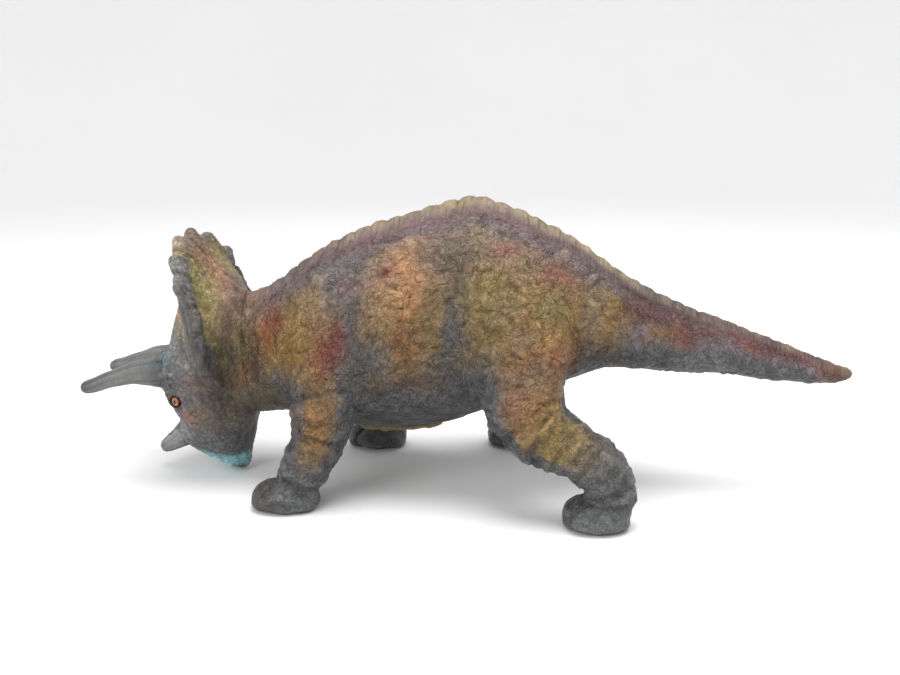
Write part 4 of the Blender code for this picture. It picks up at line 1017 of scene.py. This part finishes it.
def headCoat(q, n, crease):
    # airbrushed coat of the head, read before the roll
    jitter = stirred(stirred(q + np.where(q[:, 1:2] < 0, 0, 6), 9, 2.6, 301), 3, 0.9, 311)
    x, y, z = jitter.T
    fromMiddle = fromFrillMiddle(y, z)
    ahead = aheadOfSeam(jitter)
    coat = np.tile(paints["slate"] * 0.95, (len(q), 1))
    coat = spray("umber", coat, 0.8 * ramp(46, 16, ahead) * ramp(24, 50, z))
    frill = ramp(5, 15, ahead + 0.15 * (z - 95)) * ramp(84, 100, z)
    coat = spray("clay", coat, 0.8 * frill * ramp(96, 112, z))
    coat = spray("rose", coat, 0.35 * frill * bell(z - 122, 12))
    coat = spray("peach", coat, 0.5 * frill * bell(z - 136, 17) * bell(y, 34))
    sunny = np.clip(1.3 * bell(abs(y) - 42, 19) * bell(z - 117, 18) + bell(abs(y) - 26, 12) * bell(z - 136, 14), 0, 1)
    coat = spray("frillGreen", coat, 0.95 * frill * sunny)
    coat = spray("sand", coat, 0.5 * frill * sunny * ramp(0.0, 0.7, noise(q, 6, 341)))
    coat = coat * (1 - frill * (0.08 + 0.2 * ramp(118, 134, z)))[:, None]
    onFrill = ahead + 10 * ramp(44, 54, abs(y))  # the swept-back plates belong to the frill, not to the neck
    rim = ramp(0.88, 0.94, fromMiddle) * ramp(14, 20, onFrill) * (0.3 + 0.7 * ramp(22, 36, abs(y)))
    rim = np.maximum(rim, ramp(0.74, 0.84, fromMiddle) * ramp(112, 102, z) * ramp(14, 20, onFrill))
    facing = ramp(0.1, -0.3, n[:, 0])
    rim = np.maximum(rim, ramp(0.5, 0.7, fromMiddle) * ramp(128, 114, z) * facing * ramp(14, 20, ahead))
    coat = spray("slate", coat, 0.92 * rim * ramp(70, 80, z))
    coat = spray("coolGrey", coat, 0.85 * rim * ramp(-0.6, 0.8, noise(q, 7, 321)) * ramp(100, 120, z))
    coat = coat * (1 - 0.35 * rim * ramp(132, 116, z))[:, None]
    for side in (-1, 1):
        spots = (
            ("moss", -139, 41, 94, 4.5, 0.75), ("moss", -135, 38, 81, 4.5, 0.7), ("moss", -146, 50, 103, 6, 0.5),
            ("olive", -148, 52, 104, 4, 0.5), ("darkSlate", -141, 56, 90, 8, 0.5), ("darkSlate", -143, 52, 76, 9, 0.3),
            ("orange", -132, 34, 62, 4, 0.35), ("brick", -124, 31, 84, 5, 0.3), ("bone", -143.8, 58.3, 85.4, 1.2, 0.6),
            ("rose", -162, 24, 41, 5, 0.35), ("wine", -163.5, 23, 42.5, 3.2, 0.55), ("umber", -156, 27, 42, 9, 0.55),
            ("bone", -162, 32, 78, 4, 0.15), ("mauve", -160, 31, 66, 6, 0.35), ("umber", -150, 30, 32, 8, 0.4),
            ("darkSlate", -134, 18, 36, 13, 0.15), ("teal", -172, 22, 78, 6, 0.25), ("coolGrey", -172, 18, 28, 9, 0.4),
        )
        for colour, midX, midY, midZ, radius, strength in spots:
            far = np.linalg.norm(jitter - np.array((midX, side * midY, midZ)), axis=1) / radius
            coat = spray(colour, coat, strength * np.exp(-(far**2.4)))
        eye = np.linalg.norm(q - np.array((eyes["place"][0], side * eyes["place"][1], eyes["place"][2])), axis=1)
        coat = spray("wine", coat, 0.25 * ramp(8.5, 5, eye))
        coat = spray("washAndShadeBrown", coat, 0.75 * ramp(6.4, 4.4, eye))
    coat = spray("beakTeal", coat, 0.95 * ramp(17.5, 10.5, z + 0.12 * (x + 150)) * ramp(-176, -166, x))
    coat = spray("darkSlate", coat, 0.75 * bell(np.hypot(x + 137.6, z - 2), 4))
    # the head's colours are lifted, most ahead of the neck, low on the head and on the frill: painted light against the
    # shade that the lowered head lies in
    paintedLightLift = np.maximum(ramp(16, 34, ahead), np.maximum(0.45 * ramp(64, 40, z), 0.4 * frill))
    coat = coat * (1.15 + 2.0 * paintedLightLift)[:, None]
    # upright folds behind the frill: dark brown in their troughs is a wash that is also painted shade, mustard on their
    # tops
    streak = neckFolds(q)
    behindFrill, pastSeam = ramp(40, 24, ahead), ramp(12, 20, ahead)
    coat = spray("washAndShadeBrown", coat, 0.3 * ramp(0, -0.9, streak) * behindFrill * pastSeam)
    coat = spray("mustard", coat, 0.3 * ramp(0.2, 1.0, streak) * behindFrill * pastSeam * ramp(50, 70, z))
    coat = neckCoat(q, coat, ramp(14, 5, onFrill + 0.15 * np.maximum(z - 95, 0)))
    # the creases and the lids' creases darkened brown: a wash that is also painted shade
    return spray("washAndShadeBrown", coat, 0.5 * crease)


def makeHead():
    # fuse neck, frill, skull and horn roots, raise the relief, roll the head and cut it off at the seam
    forms = [frillForm(), skullForm(), barForm(noseFlare)]
    for side in (-1, 1):
        flare, mass, ridge = (barForm(mirrored(rows, side)) for rows in (browFlare, browMass, browRidge))
        if side > 0:
            flare[0][:, 2] -= head["farFlareDrop"] * mm
        forms += [flare, mass, ridge]
    p, quads = fuseForms(forms, head["voxel"] * mm)
    q = p / mm
    edges = quadEdges(quads)
    fromMiddle = fromFrillMiddle(q[:, 1], q[:, 2])
    rim = ramp(0.8, 0.9, fromMiddle) * ramp(62, 72, q[:, 2])
    soft = 0.5 - 0.45 * np.maximum(np.maximum(rim, ramp(8, 3, aheadOfSeam(q))), ramp(36, 20, q[:, 2]))
    q = relax(q, edges, 45, soft)
    n = pointNormals(q, quads)
    height, crease = headRelief(q, n)
    relief, lidCrease = shapeLids(q + n * height[:, None])
    coat = headCoat(q, n, np.maximum(crease, lidCrease))
    waist = bell(q[:, 2] - 112, 12) * rim * ramp(30, 44, abs(q[:, 1]))
    relief[:, 0] += np.where(q[:, 1] < 0, *head["rimWaist"]) * waist
    relief[:, 1] -= head["beakLean"] * ramp(24, 0, relief[:, 2])
    relief = cutAtSeam(rolled(relief, neck["roll"]), neck["headGap"], -1)
    relief[:, 2] = np.maximum(relief[:, 2], 0.3)
    mesh = makeMesh("headSkin", relief * mm, quads)
    tint(mesh, "coat", coat)
    tint(mesh, "marks", np.stack((crease, np.zeros(len(q)), np.clip(0.5 + height / 3, 0, 1)), -1))
    print("head skin:", len(quads) * 2, "triangles")
    return addPiece("headSkin", mesh, "head", ("head_skin",))


# Horns, grids of two parameters: along the path and round it

browHornRows = (
    (-172.0, 19.6, 71.0, 10.4), (-180.0, 20.4, 69.2, 9.6), (-188.0, 21.0, 68.2, 8.3), (-197.0, 21.9, 67.6, 7.2),
    (-205.2, 23.3, 65.1, 5.9), (-213.0, 23.7, 62.6, 5.2), (-220.0, 24.0, 59.6, 4.7), (-225.4, 24.2, 57.8, 4.3),
    (-228.4, 24.2, 56.9, 3.2), (-229.9, 24.2, 56.5, 1.2),
)
noseHornRows = (
    (-167.0, 0.0, 26.2, 9.0), (-174.3, 0.0, 21.6, 7.9), (-179.4, 0.0, 18.1, 6.5), (-184.5, 0.0, 14.9, 5.3),
    (-187.6, 0.0, 13.1, 4.5), (-189.8, 0.0, 12.1, 3.3), (-190.9, 0.0, 11.6, 1.2),
)


def hornPiece(name, rows, stands, twist=0.0, nub=None, tone=1.0, bend=(0.0, 0.0, 0.0)):
    # rings on a path with lengthwise grooves that wander and a chipped, blunt end; bend lifts root, middle and tip
    count, sides = 180, 96
    rows = curveRows(rows, count)
    share = np.linspace(0, 1, count)
    rows[:, 2] += bend[0] * (1 - share) + bend[1] * np.sin(math.pi * share) + bend[2] * share**2
    path, radius = rows[:, :3], rows[:, 3]
    across, up = pathFrame(path)
    along, turn = grid(share, sides)
    twisted = turn + twist * along
    flat = 9 * np.stack((np.cos(twisted), np.sin(twisted), along), -1).reshape(-1, 3)
    groove = noise(flat, 2.2, 401, (1, 1, 3.5)).reshape(count, sides)
    grain = noise(flat, 0.8, 402, (1, 1, 4.0)).reshape(count, sides)
    lump = noise(flat, 5.0, 403).reshape(count, sides)
    swell = 1 + 0.055 * groove + 0.02 * grain + 0.05 * lump
    girth = radius[:, None] * swell * (1 + 0.05 * np.cos(2 * turn))
    rings = path[:, None] + girth[..., None] * (
        np.cos(turn)[..., None] * across[:, None] + np.sin(turn)[..., None] * up[:, None]
    )
    if nub:
        far = np.linalg.norm(rings - np.array(nub[:3]), axis=-1)
        rings = rings + (nub[3] * bell(far, 1.5))[..., None] * np.array((-0.3, 0, 1.0))
    rings = rolled(rings.reshape(-1, 3), neck["roll"]).reshape(count, sides, 3)
    points, quads, fans = ringSkin(rings * mm)
    # the horn's tone is lighter on the groove ridges and darker in the grooves, mixed with the grain's own tone:
    # painted light and shade along the grooves
    grooveShadeAndGrain = np.clip(0.5 + 0.5 * groove + 0.35 * grain, 0, 1).reshape(-1)
    coat = np.tile(paints["paleSlate"], (count * sides, 1)) * (tone * (0.86 + 0.3 * grooveShadeAndGrain))[:, None]
    coat = spray("slate", coat, 0.75 * ramp(0.34, 0.16, along + 0.05 * lump).reshape(-1))
    coat = spray("teal", coat, 0.22 * ramp(0.42, 0.1, along).reshape(-1) * ramp(0, 1, np.sin(turn)).reshape(-1))
    coat = spray("darkSlate", coat, 0.55 * ramp(0.8, 0.98, along + 0.06 * lump).reshape(-1))
    # dark slate in the grooves: a wash that is also painted shade
    coat = spray("darkSlate", coat, 0.4 * ramp(-0.1, -0.8, groove).reshape(-1))
    mesh = makeMesh(name, points, quads, fans)
    ends = np.array((paints["slate"], paints["darkSlate"]))
    tint(mesh, "coat", np.vstack((coat, ends)))
    crease = np.append(ramp(-0.1, -0.8, groove).reshape(-1), (0, 0))
    tint(mesh, "marks", np.stack((crease, 0 * crease, 0.5 + 0 * crease), -1))
    return addPiece(name, mesh, "head", stands)


def makeHorns():
    # the nose horn with its nub, then the two brow horns, each bent its own way
    made = [hornPiece("noseHorn", noseHornRows, ("nose_horn",), nub=(-184.5, -2.0, 20.0, 1.8), tone=1.5)]
    for side, name, stands, bend in (
        (-1, "browHornLeft", "brow_horn_left", (0.0, 0.5, 1.8)),
        (1, "browHornRight", "brow_horn_right", (-2.6, -1.8, 0.6)),
    ):
        made.append(hornPiece(name, mirrored(browHornRows, side), (stands,), twist=0.5 * side, bend=bend))
    print("horns:", len(made))
    return made


def makeEyes():
    # ball whose pole looks outwards: orange iris, beige in front, pink below, a dark pupil and a dark edge
    made = []
    for side, name, stands in ((-1, "eyeLeft", "eye_left"), (1, "eyeRight", "eye_right")):
        look = eyeLook(side)
        across = unit(np.cross(look, (0, 0, 1)))
        up = np.cross(across, look)
        x, y, z = eyes["place"]
        tilt, turn = grid(np.linspace(0.02, math.pi - 0.02, 64), 64)
        level, rise = np.sin(tilt) * np.cos(turn), np.sin(tilt) * np.sin(turn)
        bulge = eyes["radius"] * (1 + 0.07 * bell(tilt, 0.55))
        ball = np.array((x, side * y, z)) + bulge[..., None] * (
            np.cos(tilt)[..., None] * look + level[..., None] * across * 0.86 + rise[..., None] * up
        )
        ball = rolled(ball.reshape(-1, 3), neck["roll"]).reshape(ball.shape)
        points, quads, fans = ringSkin(ball * mm)
        mesh = makeMesh(name, points, quads, fans)
        forward, upward = -side * level.reshape(-1), rise.reshape(-1)
        spot = np.hypot(forward + 0.08, upward * 0.8)
        coat = np.tile(paints["irisOrange"], (len(forward), 1))
        coat = spray("eyePink", coat, 0.7 * ramp(-0.2, -0.5, upward))
        coat = spray("eyeBeige", coat, 0.8 * ramp(0.12, 0.3, forward))
        coat = spray("pupilBrown", coat, ramp(0.32, 0.24, spot))
        coat = spray("lidBrown", coat, ramp(0.72, 0.9, tilt.reshape(-1)))
        tint(mesh, "coat", np.vstack((coat, paints["poleBrown"], paints["poleBrown"])))
        made.append(addPiece(name, mesh, "head", (stands,)))
    print("eyes:", len(made))
    return made


# Belly closure: an oval patch pressed into the belly and a bead of dried glue round it

closure = {
    "middle": -36.8,  # x
    "half": (22.6, 10.6),  # half length and half width
    "beadRadius": 2.4,
    "beadOut": 1.4,  # mm outside the oval's edge
}


def bellyHeight(x, y):
    # underside of the trunk at a place, from its rows and the egg section
    ridge, under, half, _ = trunkAt(x)
    half = half * (1 + body["eggShare"])
    return under + 0.5 * (ridge - under) * (1 - np.sqrt(np.clip(1 - (y / half) ** 2, 0, 1)))


def makeClosure():
    # plate: polar grid of two shells; bead: a tube whose radius wanders round the oval
    longHalf, wideHalf = closure["half"]
    radius, turn = grid(np.linspace(0.03, 1, 24), 120)
    x = closure["middle"] + longHalf * radius * np.cos(turn)
    y = wideHalf * radius * np.sin(turn)
    level = bellyHeight(x, y)
    flat = np.stack((x, y, 0 * x), -1).reshape(-1, 3)
    creased = noise(stirred(flat, 6, 1.5, 501), 2.4, 502).reshape(x.shape)
    lower = np.stack((x, y, level - 0.7 - 0.35 * creased + 0.6 * radius**6), -1)
    upper = np.stack((x, y, level + 2.4), -1)[::-1]
    points, quads, fans = ringSkin(np.concatenate((lower, upper)) * mm)
    plate = makeMesh("bellyClosure", points, quads, fans)
    made = [addPiece("bellyClosure", plate, "body", ("belly_plug",))]
    turn, about = grid(np.linspace(0, math.tau, 240, endpoint=False), 20)
    out = closure["beadOut"] + 0.5 * np.sin(5 * turn) + 0.4 * np.sin(13 * turn + 1)
    x, y = closure["middle"] + (longHalf + out) * np.cos(turn), (wideHalf + out) * np.sin(turn)
    outward = np.stack((np.cos(turn), np.sin(turn), 0 * turn), -1)
    wander = noise(np.stack((x, y, 0 * x), -1).reshape(-1, 3), 4, 511).reshape(x.shape)
    thick = closure["beadRadius"] * (1 + 0.4 * wander)
    middle = np.stack((x, y, bellyHeight(x, y) - 0.2), -1)
    tube = middle + thick[..., None] * (
        np.cos(about)[..., None] * outward * 1.5 + np.sin(about)[..., None] * np.array((0, 0, 1.0))
    )
    i, j = np.meshgrid(np.arange(240), np.arange(20), indexing="ij")
    a, b = (i + 1) % 240, (j + 1) % 20
    quads = np.stack((i * 20 + j, i * 20 + b, a * 20 + b, a * 20 + j), -1).reshape(-1, 4)
    points = tube.reshape(-1, 3)
    n = pointNormals(points, quads)
    if np.sum(n * (points - middle.reshape(-1, 3))) < 0:
        quads = quads[:, ::-1]
    bead = makeMesh("glueBead", points * mm, quads)
    made.append(addPiece("glueBead", bead, "body"))
    print("belly closure:", len(made), "pieces")
    return made


# Finishes

def newGroup(name, inputs, outputs):
    # node group with named sockets; an input without a value is there to be linked
    group = bpy.data.node_groups.new(name, "ShaderNodeTree")
    for socket, kind, value in inputs:
        made = group.interface.new_socket(socket, in_out="INPUT", socket_type=kind)
        if value is not None:
            made.default_value = value
    for socket, kind in outputs:
        group.interface.new_socket(socket, in_out="OUTPUT", socket_type=kind)
    return group, group.nodes.new("NodeGroupInput").outputs, group.nodes.new("NodeGroupOutput")


def fill(tree, made, links):
    # puts plain values or other nodes' outputs into a node's inputs
    for key, value in links.items():
        if isinstance(value, bpy.types.NodeSocket):
            tree.links.new(value, made.inputs[key])
        else:
            made.inputs[key].default_value = value


def node(tree, kind, links=None, **settings):
    # adds a node, sets its properties, then fills its inputs
    made = tree.nodes.new(kind)
    for key, value in settings.items():
        setattr(made, key, value)
    fill(tree, made, links or {})
    return made


def maths(tree, operation, first, second=0.0, clamp=False):
    # one sum of two numbers, held to 0..1 where clamp is set
    return node(tree, "ShaderNodeMath", {0: first, 1: second}, operation=operation, use_clamp=clamp).outputs[0]


def vectorMaths(tree, operation, first, second):
    # one sum of two vectors; SCALE takes a number second, DOT_PRODUCT puts one out
    key = "Scale" if operation == "SCALE" else 1
    made = node(tree, "ShaderNodeVectorMath", {0: first, key: second}, operation=operation)
    return made.outputs["Value" if operation == "DOT_PRODUCT" else "Vector"]


def mixColour(tree, factor, first, second):
    # first colour at factor 0, second at 1
    return node(tree, "ShaderNodeMix", {0: factor, 6: first, 7: second}, data_type="RGBA").outputs[2]


def noiseAt(tree, place, scale, detail, roughness=0.5, distortion=0.0):
    # 0..1 from a noise texture read at the place
    return node(tree, "ShaderNodeTexNoise", {
        "Vector": place, "Scale": scale, "Detail": detail, "Roughness": roughness, "Distortion": distortion,
    }).outputs["Fac"]


def spread(tree, value, fromLow, fromHigh, toLow=0.0, toHigh=1.0, ease="LINEAR"):
    # the value's range from fromLow to fromHigh is spread over toLow to toHigh
    return node(tree, "ShaderNodeMapRange", {
        "Value": value, "From Min": fromLow, "From Max": fromHigh, "To Min": toLow, "To Max": toHigh,
    }, interpolation_type=ease).outputs[0]


def bumped(tree, height, distance, strength):
    # the normal tilted by the slope of the height
    links = {"Height": height, "Distance": distance, "Strength": strength}
    return node(tree, "ShaderNodeBump", links).outputs["Normal"]


def wrinkleGroup():
    # crooked net of creases at two sizes over a fine grain; puts out the height and the crease mask
    tree, given, out = newGroup(
        "vinylWrinkles",
        (("Place", "NodeSocketVector", None), ("Scale", "NodeSocketFloat", 260.0), ("Crook", "NodeSocketFloat", 0.0022)),
        (("Height", "NodeSocketFloat"), ("Crease", "NodeSocketFloat")),
    )
    place, middle = given["Place"], (0.5, 0.5, 0.5)
    stir = node(tree, "ShaderNodeTexNoise", {"Vector": place, "Scale": 210.0, "Detail": 2.0}).outputs["Color"]
    pushed = vectorMaths(tree, "SCALE", vectorMaths(tree, "SUBTRACT", stir, middle), given["Crook"])
    moved = vectorMaths(tree, "ADD", place, pushed)
    heights, creases = [], []
    for times, width, deep in ((1.0, 0.045, 0.55), (2.1, 0.06, 0.3)):
        field = noiseAt(tree, moved, maths(tree, "MULTIPLY", given["Scale"], times), 1.5)
        level = maths(tree, "ABSOLUTE", maths(tree, "SUBTRACT", field, 0.5))
        clear = spread(tree, level, 0.0, width, ease="SMOOTHSTEP")
        heights += [maths(tree, "MULTIPLY", clear, deep), maths(tree, "MULTIPLY", field, 1.1 * deep)]
        creases.append(maths(tree, "MULTIPLY", maths(tree, "SUBTRACT", 1.0, clear, clamp=True), 1.4 * deep))
    # flakes: each cell of a crooked net is tilted its own way, height = (place - middle) . (its colour - 0.5)
    for times, deep in ((1.0, 1.7), (2.3, 0.8)):
        scale = maths(tree, "MULTIPLY", given["Scale"], times)
        cells = node(tree, "ShaderNodeTexVoronoi", {"Vector": moved, "Scale": scale}).outputs
        way = vectorMaths(tree, "SUBTRACT", cells["Color"], middle)
        reach = vectorMaths(tree, "SUBTRACT", moved, cells["Position"])
        slope = vectorMaths(tree, "DOT_PRODUCT", reach, way)
        heights.append(maths(tree, "MULTIPLY", maths(tree, "MULTIPLY", slope, scale), deep))
    cracks = node(tree, "ShaderNodeTexVoronoi", {"Vector": moved, "Scale": given["Scale"]}, feature="DISTANCE_TO_EDGE")
    cell = spread(tree, cracks.outputs["Distance"], 0.0, 0.16, ease="SMOOTHSTEP")
    grain = noiseAt(tree, place, 1500.0, 4.0, 0.6)
    heights += [maths(tree, "MULTIPLY", cell, 0.22), maths(tree, "MULTIPLY", grain, 0.22)]
    height = heights[0]
    for more in heights[1:]:
        height = maths(tree, "ADD", height, more)
    fill(tree, out, {"Height": height, "Crease": maths(tree, "MAXIMUM", *creases)})
    return tree


def agedAndShadedPaintGroup():
    # coat colour mottled by noise, darkened in creases by a brown wash that is also painted shade, dusted pale on what
    # stands proud
    tree, given, out = newGroup(
        "agedAndShadedPaint",
        (
            ("Place", "NodeSocketVector", None), ("Coat", "NodeSocketColor", (0.5, 0.5, 0.5, 1)),
            ("Crease", "NodeSocketFloat", 0.0), ("Proud", "NodeSocketFloat", 0.5),
            ("WashAndShade", "NodeSocketFloat", 0.5), ("Rub", "NodeSocketFloat", 0.3),
        ),
        (("Colour", "NodeSocketColor"), ("Roughness", "NodeSocketFloat")),
    )
    cloud = noiseAt(tree, given["Place"], 120.0, 5.0, 0.65)
    speck = noiseAt(tree, given["Place"], 900.0, 3.0, 0.7)
    tone, fleck = spread(tree, cloud, 0.3, 0.7, 0.8, 1.18), spread(tree, speck, 0.3, 0.7, 0.86, 1.12)
    mottledCoat = vectorMaths(tree, "SCALE", given["Coat"], maths(tree, "MULTIPLY", tone, fleck))
    # the creases are darkened towards the wash brown: a wash that is also painted shade
    washAndShadeShare = maths(tree, "MULTIPLY", given["Crease"], given["WashAndShade"], clamp=True)
    washedAndShaded = mixColour(tree, washAndShadeShare, mottledCoat, (*paints["washAndShadeBrown"], 1))
    proud = maths(tree, "SUBTRACT", given["Proud"], 0.55, clamp=True)
    rubbed = maths(tree, "MULTIPLY", proud, given["Rub"], clamp=True)
    rough = spread(tree, speck, 0.25, 0.75, 0.34, 0.54)
    duller = maths(tree, "ADD", rough, maths(tree, "MULTIPLY", given["Crease"], 0.18), clamp=True)
    fill(tree, out, {"Colour": mixColour(tree, rubbed, washedAndShaded, (0.50, 0.44, 0.33, 1)), "Roughness": duller})
    return tree


groups = {"wrinkles": wrinkleGroup(), "paint": agedAndShadedPaintGroup()}


def newFinish(name):
    # a material, its node tree, its shader and the object's own coordinates
    finish = bpy.data.materials.new(name)
    finish.use_nodes = True
    tree = finish.node_tree
    return finish, tree, tree.nodes["Principled BSDF"], node(tree, "ShaderNodeTexCoord").outputs["Object"]


def layerColour(tree, layer):
    return node(tree, "ShaderNodeAttribute", attribute_name=layer).outputs["Color"]


def paintedVinyl(name, scale, crook, bump, washAndShade=0.5, rub=0.35, stripes=False):
    # painted skin: attribute colours through the aged paint with its wash and painted shade in the creases, wrinkles as
    # bump, stripes where the marks say so
    finish, tree, shader, place = newFinish(name)
    crease, band, proud = node(tree, "ShaderNodeSeparateColor", {0: layerColour(tree, "marks")}).outputs[:3]
    wrinkles = node(tree, "ShaderNodeGroup", {
        "Place": place, "Scale": scale, "Crook": crook,
    }, node_tree=groups["wrinkles"]).outputs
    deep = maths(tree, "MAXIMUM", crease, maths(tree, "MULTIPLY", wrinkles["Crease"], 0.55))
    agedAndShaded = node(tree, "ShaderNodeGroup", {
        "Place": place, "Coat": layerColour(tree, "coat"), "Crease": deep, "Proud": proud, "WashAndShade": washAndShade, "Rub": rub,
    }, node_tree=groups["paint"]).outputs
    height = wrinkles["Height"]
    if stripes:
        drawn = node(tree, "ShaderNodeMapping", {"Vector": place, "Scale": (1.0, 0.12, 0.1)}).outputs[0]
        ribbed = maths(tree, "MULTIPLY", noiseAt(tree, drawn, 620.0, 3.0), 1.3)
        height = node(tree, "ShaderNodeMix", {0: band, 2: height, 3: ribbed}).outputs[0]
    fill(tree, shader, {
        "Base Color": agedAndShaded["Colour"], "Roughness": agedAndShaded["Roughness"], "Specular IOR Level": 0.42,
        "Normal": bumped(tree, height, bump, 0.85),
    })
    return finish


def eyeFinish():
    # painted bead under a clear coat
    finish, tree, shader, place = newFinish("eyeLacquer")
    vein = noiseAt(tree, place, 1900.0, 4.0)
    tone = spread(tree, vein, 0.0, 1.0, 0.75, 1.2)
    fill(tree, shader, {
        "Base Color": vectorMaths(tree, "SCALE", layerColour(tree, "coat"), tone),
        "Roughness": spread(tree, vein, 0.0, 1.0, 0.3, 0.45), "Coat Weight": 0.15, "Coat Roughness": 0.08,
    })
    return finish


def plainVinyl(name, colour, scale, bump, rough):
    # one colour clouded by noise, with wrinkles as bump
    finish, tree, shader, place = newFinish(name)
    wrinkles = node(tree, "ShaderNodeGroup", {"Place": place, "Scale": scale}, node_tree=groups["wrinkles"]).outputs
    cloud = noiseAt(tree, place, 260.0, 5.0)
    mixed = mixColour(tree, spread(tree, cloud, 0.3, 0.7), (*(colour * 0.62), 1), (*(colour * 1.18), 1))
    # the wrinkles' creases are darkened towards the wash brown: painted shade
    washedAndShaded = mixColour(tree, maths(tree, "MULTIPLY", wrinkles["Crease"], 0.5), mixed, (*paints["washAndShadeBrown"], 1))
    fill(tree, shader, {
        "Base Color": washedAndShaded, "Roughness": spread(tree, cloud, 0.0, 1.0, rough - 0.1, rough + 0.1),
        "Normal": bumped(tree, wrinkles["Height"], bump, 0.8),
    })
    return finish


def stuffingFinish():
    # matted fibre: thin crooked threads as bump over off-white
    finish, tree, shader, place = newFinish("stuffingFibre")
    drawn = node(tree, "ShaderNodeMapping", {"Vector": place, "Scale": (1.0, 0.25, 1.0), "Rotation": (0.4, 0.2, 0.9)})
    threads = noiseAt(tree, drawn.outputs[0], 1100.0, 6.0, distortion=1.4)
    fill(tree, shader, {
        "Base Color": mixColour(tree, spread(tree, threads, 0.3, 0.7), (0.55, 0.53, 0.48, 1), (0.86, 0.85, 0.80, 1)),
        "Roughness": spread(tree, threads, 0.0, 1.0, 0.85, 1.0), "Sheen Weight": 0.3,
        "Normal": bumped(tree, threads, 0.0004, 0.7),
    })
    return finish


# Studio

studio = {
    "cameraPlace": (0.0674, -0.7031, 0.245),
    "cameraTurn": 6.0,  # degrees
    "cameraPitch": 12.5,  # degrees down
    "lens": 48.0,
    "sweepFlat": 1.7,  # radius of the level floor
    "sweepBend": 1.1,  # radius of the arc from floor to wall
    "sweepHeight": 2.6,
    "worldStrength": 0.78,
}


def makeStudio():
    # camera as in the photograph, a round white sweep, one broad lamp above and a weak one in front
    camera = bpy.data.objects.new("studioCamera", bpy.data.cameras.new("studioCamera"))
    bpy.context.scene.collection.objects.link(camera)
    camera.location = studio["cameraPlace"]
    camera.rotation_euler = (math.radians(90 - studio["cameraPitch"]), 0, math.radians(studio["cameraTurn"]))
    camera.data.lens = studio["lens"]
    camera.data.sensor_width = 36.0
    bpy.context.scene.camera = camera

    # profile turned about Z: flat, then a quarter arc, then a wall
    arc = np.linspace(0, math.pi / 2, 24)
    flat, bend = studio["sweepFlat"], studio["sweepBend"]
    radius = np.concatenate((np.linspace(0.02, flat, 12), flat + bend * np.sin(arc[1:])))
    height = np.concatenate((np.zeros(12), bend * (1 - np.cos(arc[1:]))))
    radius, height = np.append(radius, radius[-1]), np.append(height, studio["sweepHeight"])
    count, sides = len(radius), 96
    turn = np.linspace(0, math.tau, sides, endpoint=False)
    level = np.outer(height, np.ones(sides))
    rings = np.stack((np.outer(radius, np.cos(turn)), np.outer(radius, np.sin(turn)), level), -1)
    i, j = np.meshgrid(np.arange(count - 1), np.arange(sides), indexing="ij")
    k = (j + 1) % sides
    quads = np.stack(((i + 1) * sides + j, (i + 1) * sides + k, i * sides + k, i * sides + j), -1).reshape(-1, 4)
    s = np.arange(sides)
    fans = np.stack((np.full(sides, count * sides), s, (s + 1) % sides), -1)
    mesh = makeMesh("studioSweep", np.vstack((rings.reshape(-1, 3), (0, 0, 0))), quads, fans)
    sweep = bpy.data.objects.new("studioSweep", mesh)
    bpy.context.scene.collection.objects.link(sweep)
    paper, tree, shader, place = newFinish("whitePaper")
    pale = mixColour(tree, noiseAt(tree, place, 2.0, 2.0), (0.91, 0.91, 0.91, 1), (0.95, 0.95, 0.95, 1))
    fill(tree, shader, {"Base Color": pale, "Roughness": 0.9, "Specular IOR Level": 0.1})
    mesh.materials.append(paper)

    world = bpy.data.worlds.new("studioWorld")
    world.use_nodes = True
    background = world.node_tree.nodes["Background"]
    background.inputs["Color"].default_value = (1.0, 1.0, 1.0, 1)
    background.inputs["Strength"].default_value = studio["worldStrength"]
    bpy.context.scene.world = world
    lamps = (
        ("overheadLamp", (0.15, -0.1, 1.5), (0.05, 0.0, 0.05), 1.1, 18.0),
        ("frontLamp", (-0.7, -1.3, 0.9), (0.0, 0.0, 0.1), 0.9, 8.0),
    )
    for name, at, aim, size, power in lamps:
        lamp = bpy.data.lights.new(name, "AREA")
        lamp.shape = "DISK"
        lamp.size = size
        lamp.energy = power
        held = bpy.data.objects.new(name, lamp)
        held.location = at
        held.rotation_euler = (Vector(aim) - Vector(at)).to_track_quat("-Z", "Y").to_euler()
        bpy.context.scene.collection.objects.link(held)
    bpy.context.scene.view_settings.view_transform = "Standard"
    print("studio ready")


makeStudio()
bodySkin = makeBody()
headSkin = makeHead()
horns = makeHorns()
eyeBeads = makeEyes()
bellyPatch, glueBead = makeClosure()

bodySkin.data.materials.append(paintedVinyl("bodyVinyl", scale=150.0, crook=0.006, bump=0.0018, stripes=True))
headSkin.data.materials.append(paintedVinyl("headVinyl", scale=230.0, crook=0.004, bump=0.0009))
hornPaint = paintedVinyl("hornVinyl", scale=420.0, crook=0.003, bump=0.0003, washAndShade=0.35, rub=0.2)
for horn in horns:
    horn.data.materials.append(hornPaint)
eyePaint = eyeFinish()
for bead in eyeBeads:
    bead.data.materials.append(eyePaint)
bellyPatch.data.materials.append(plainVinyl("closureVinyl", paints["closureTan"], 300.0, 0.0005, 0.55))
glueBead.data.materials.append(plainVinyl("driedGlue", paints["glueTan"], 500.0, 0.0004, 0.38))
fibre = stuffingFinish()
for name, cadNode in frame["nodes"].items():
    if name.endswith("filling"):
        cadNode.data.materials.clear()
        cadNode.data.materials.append(fibre)
print("finishes laid on")
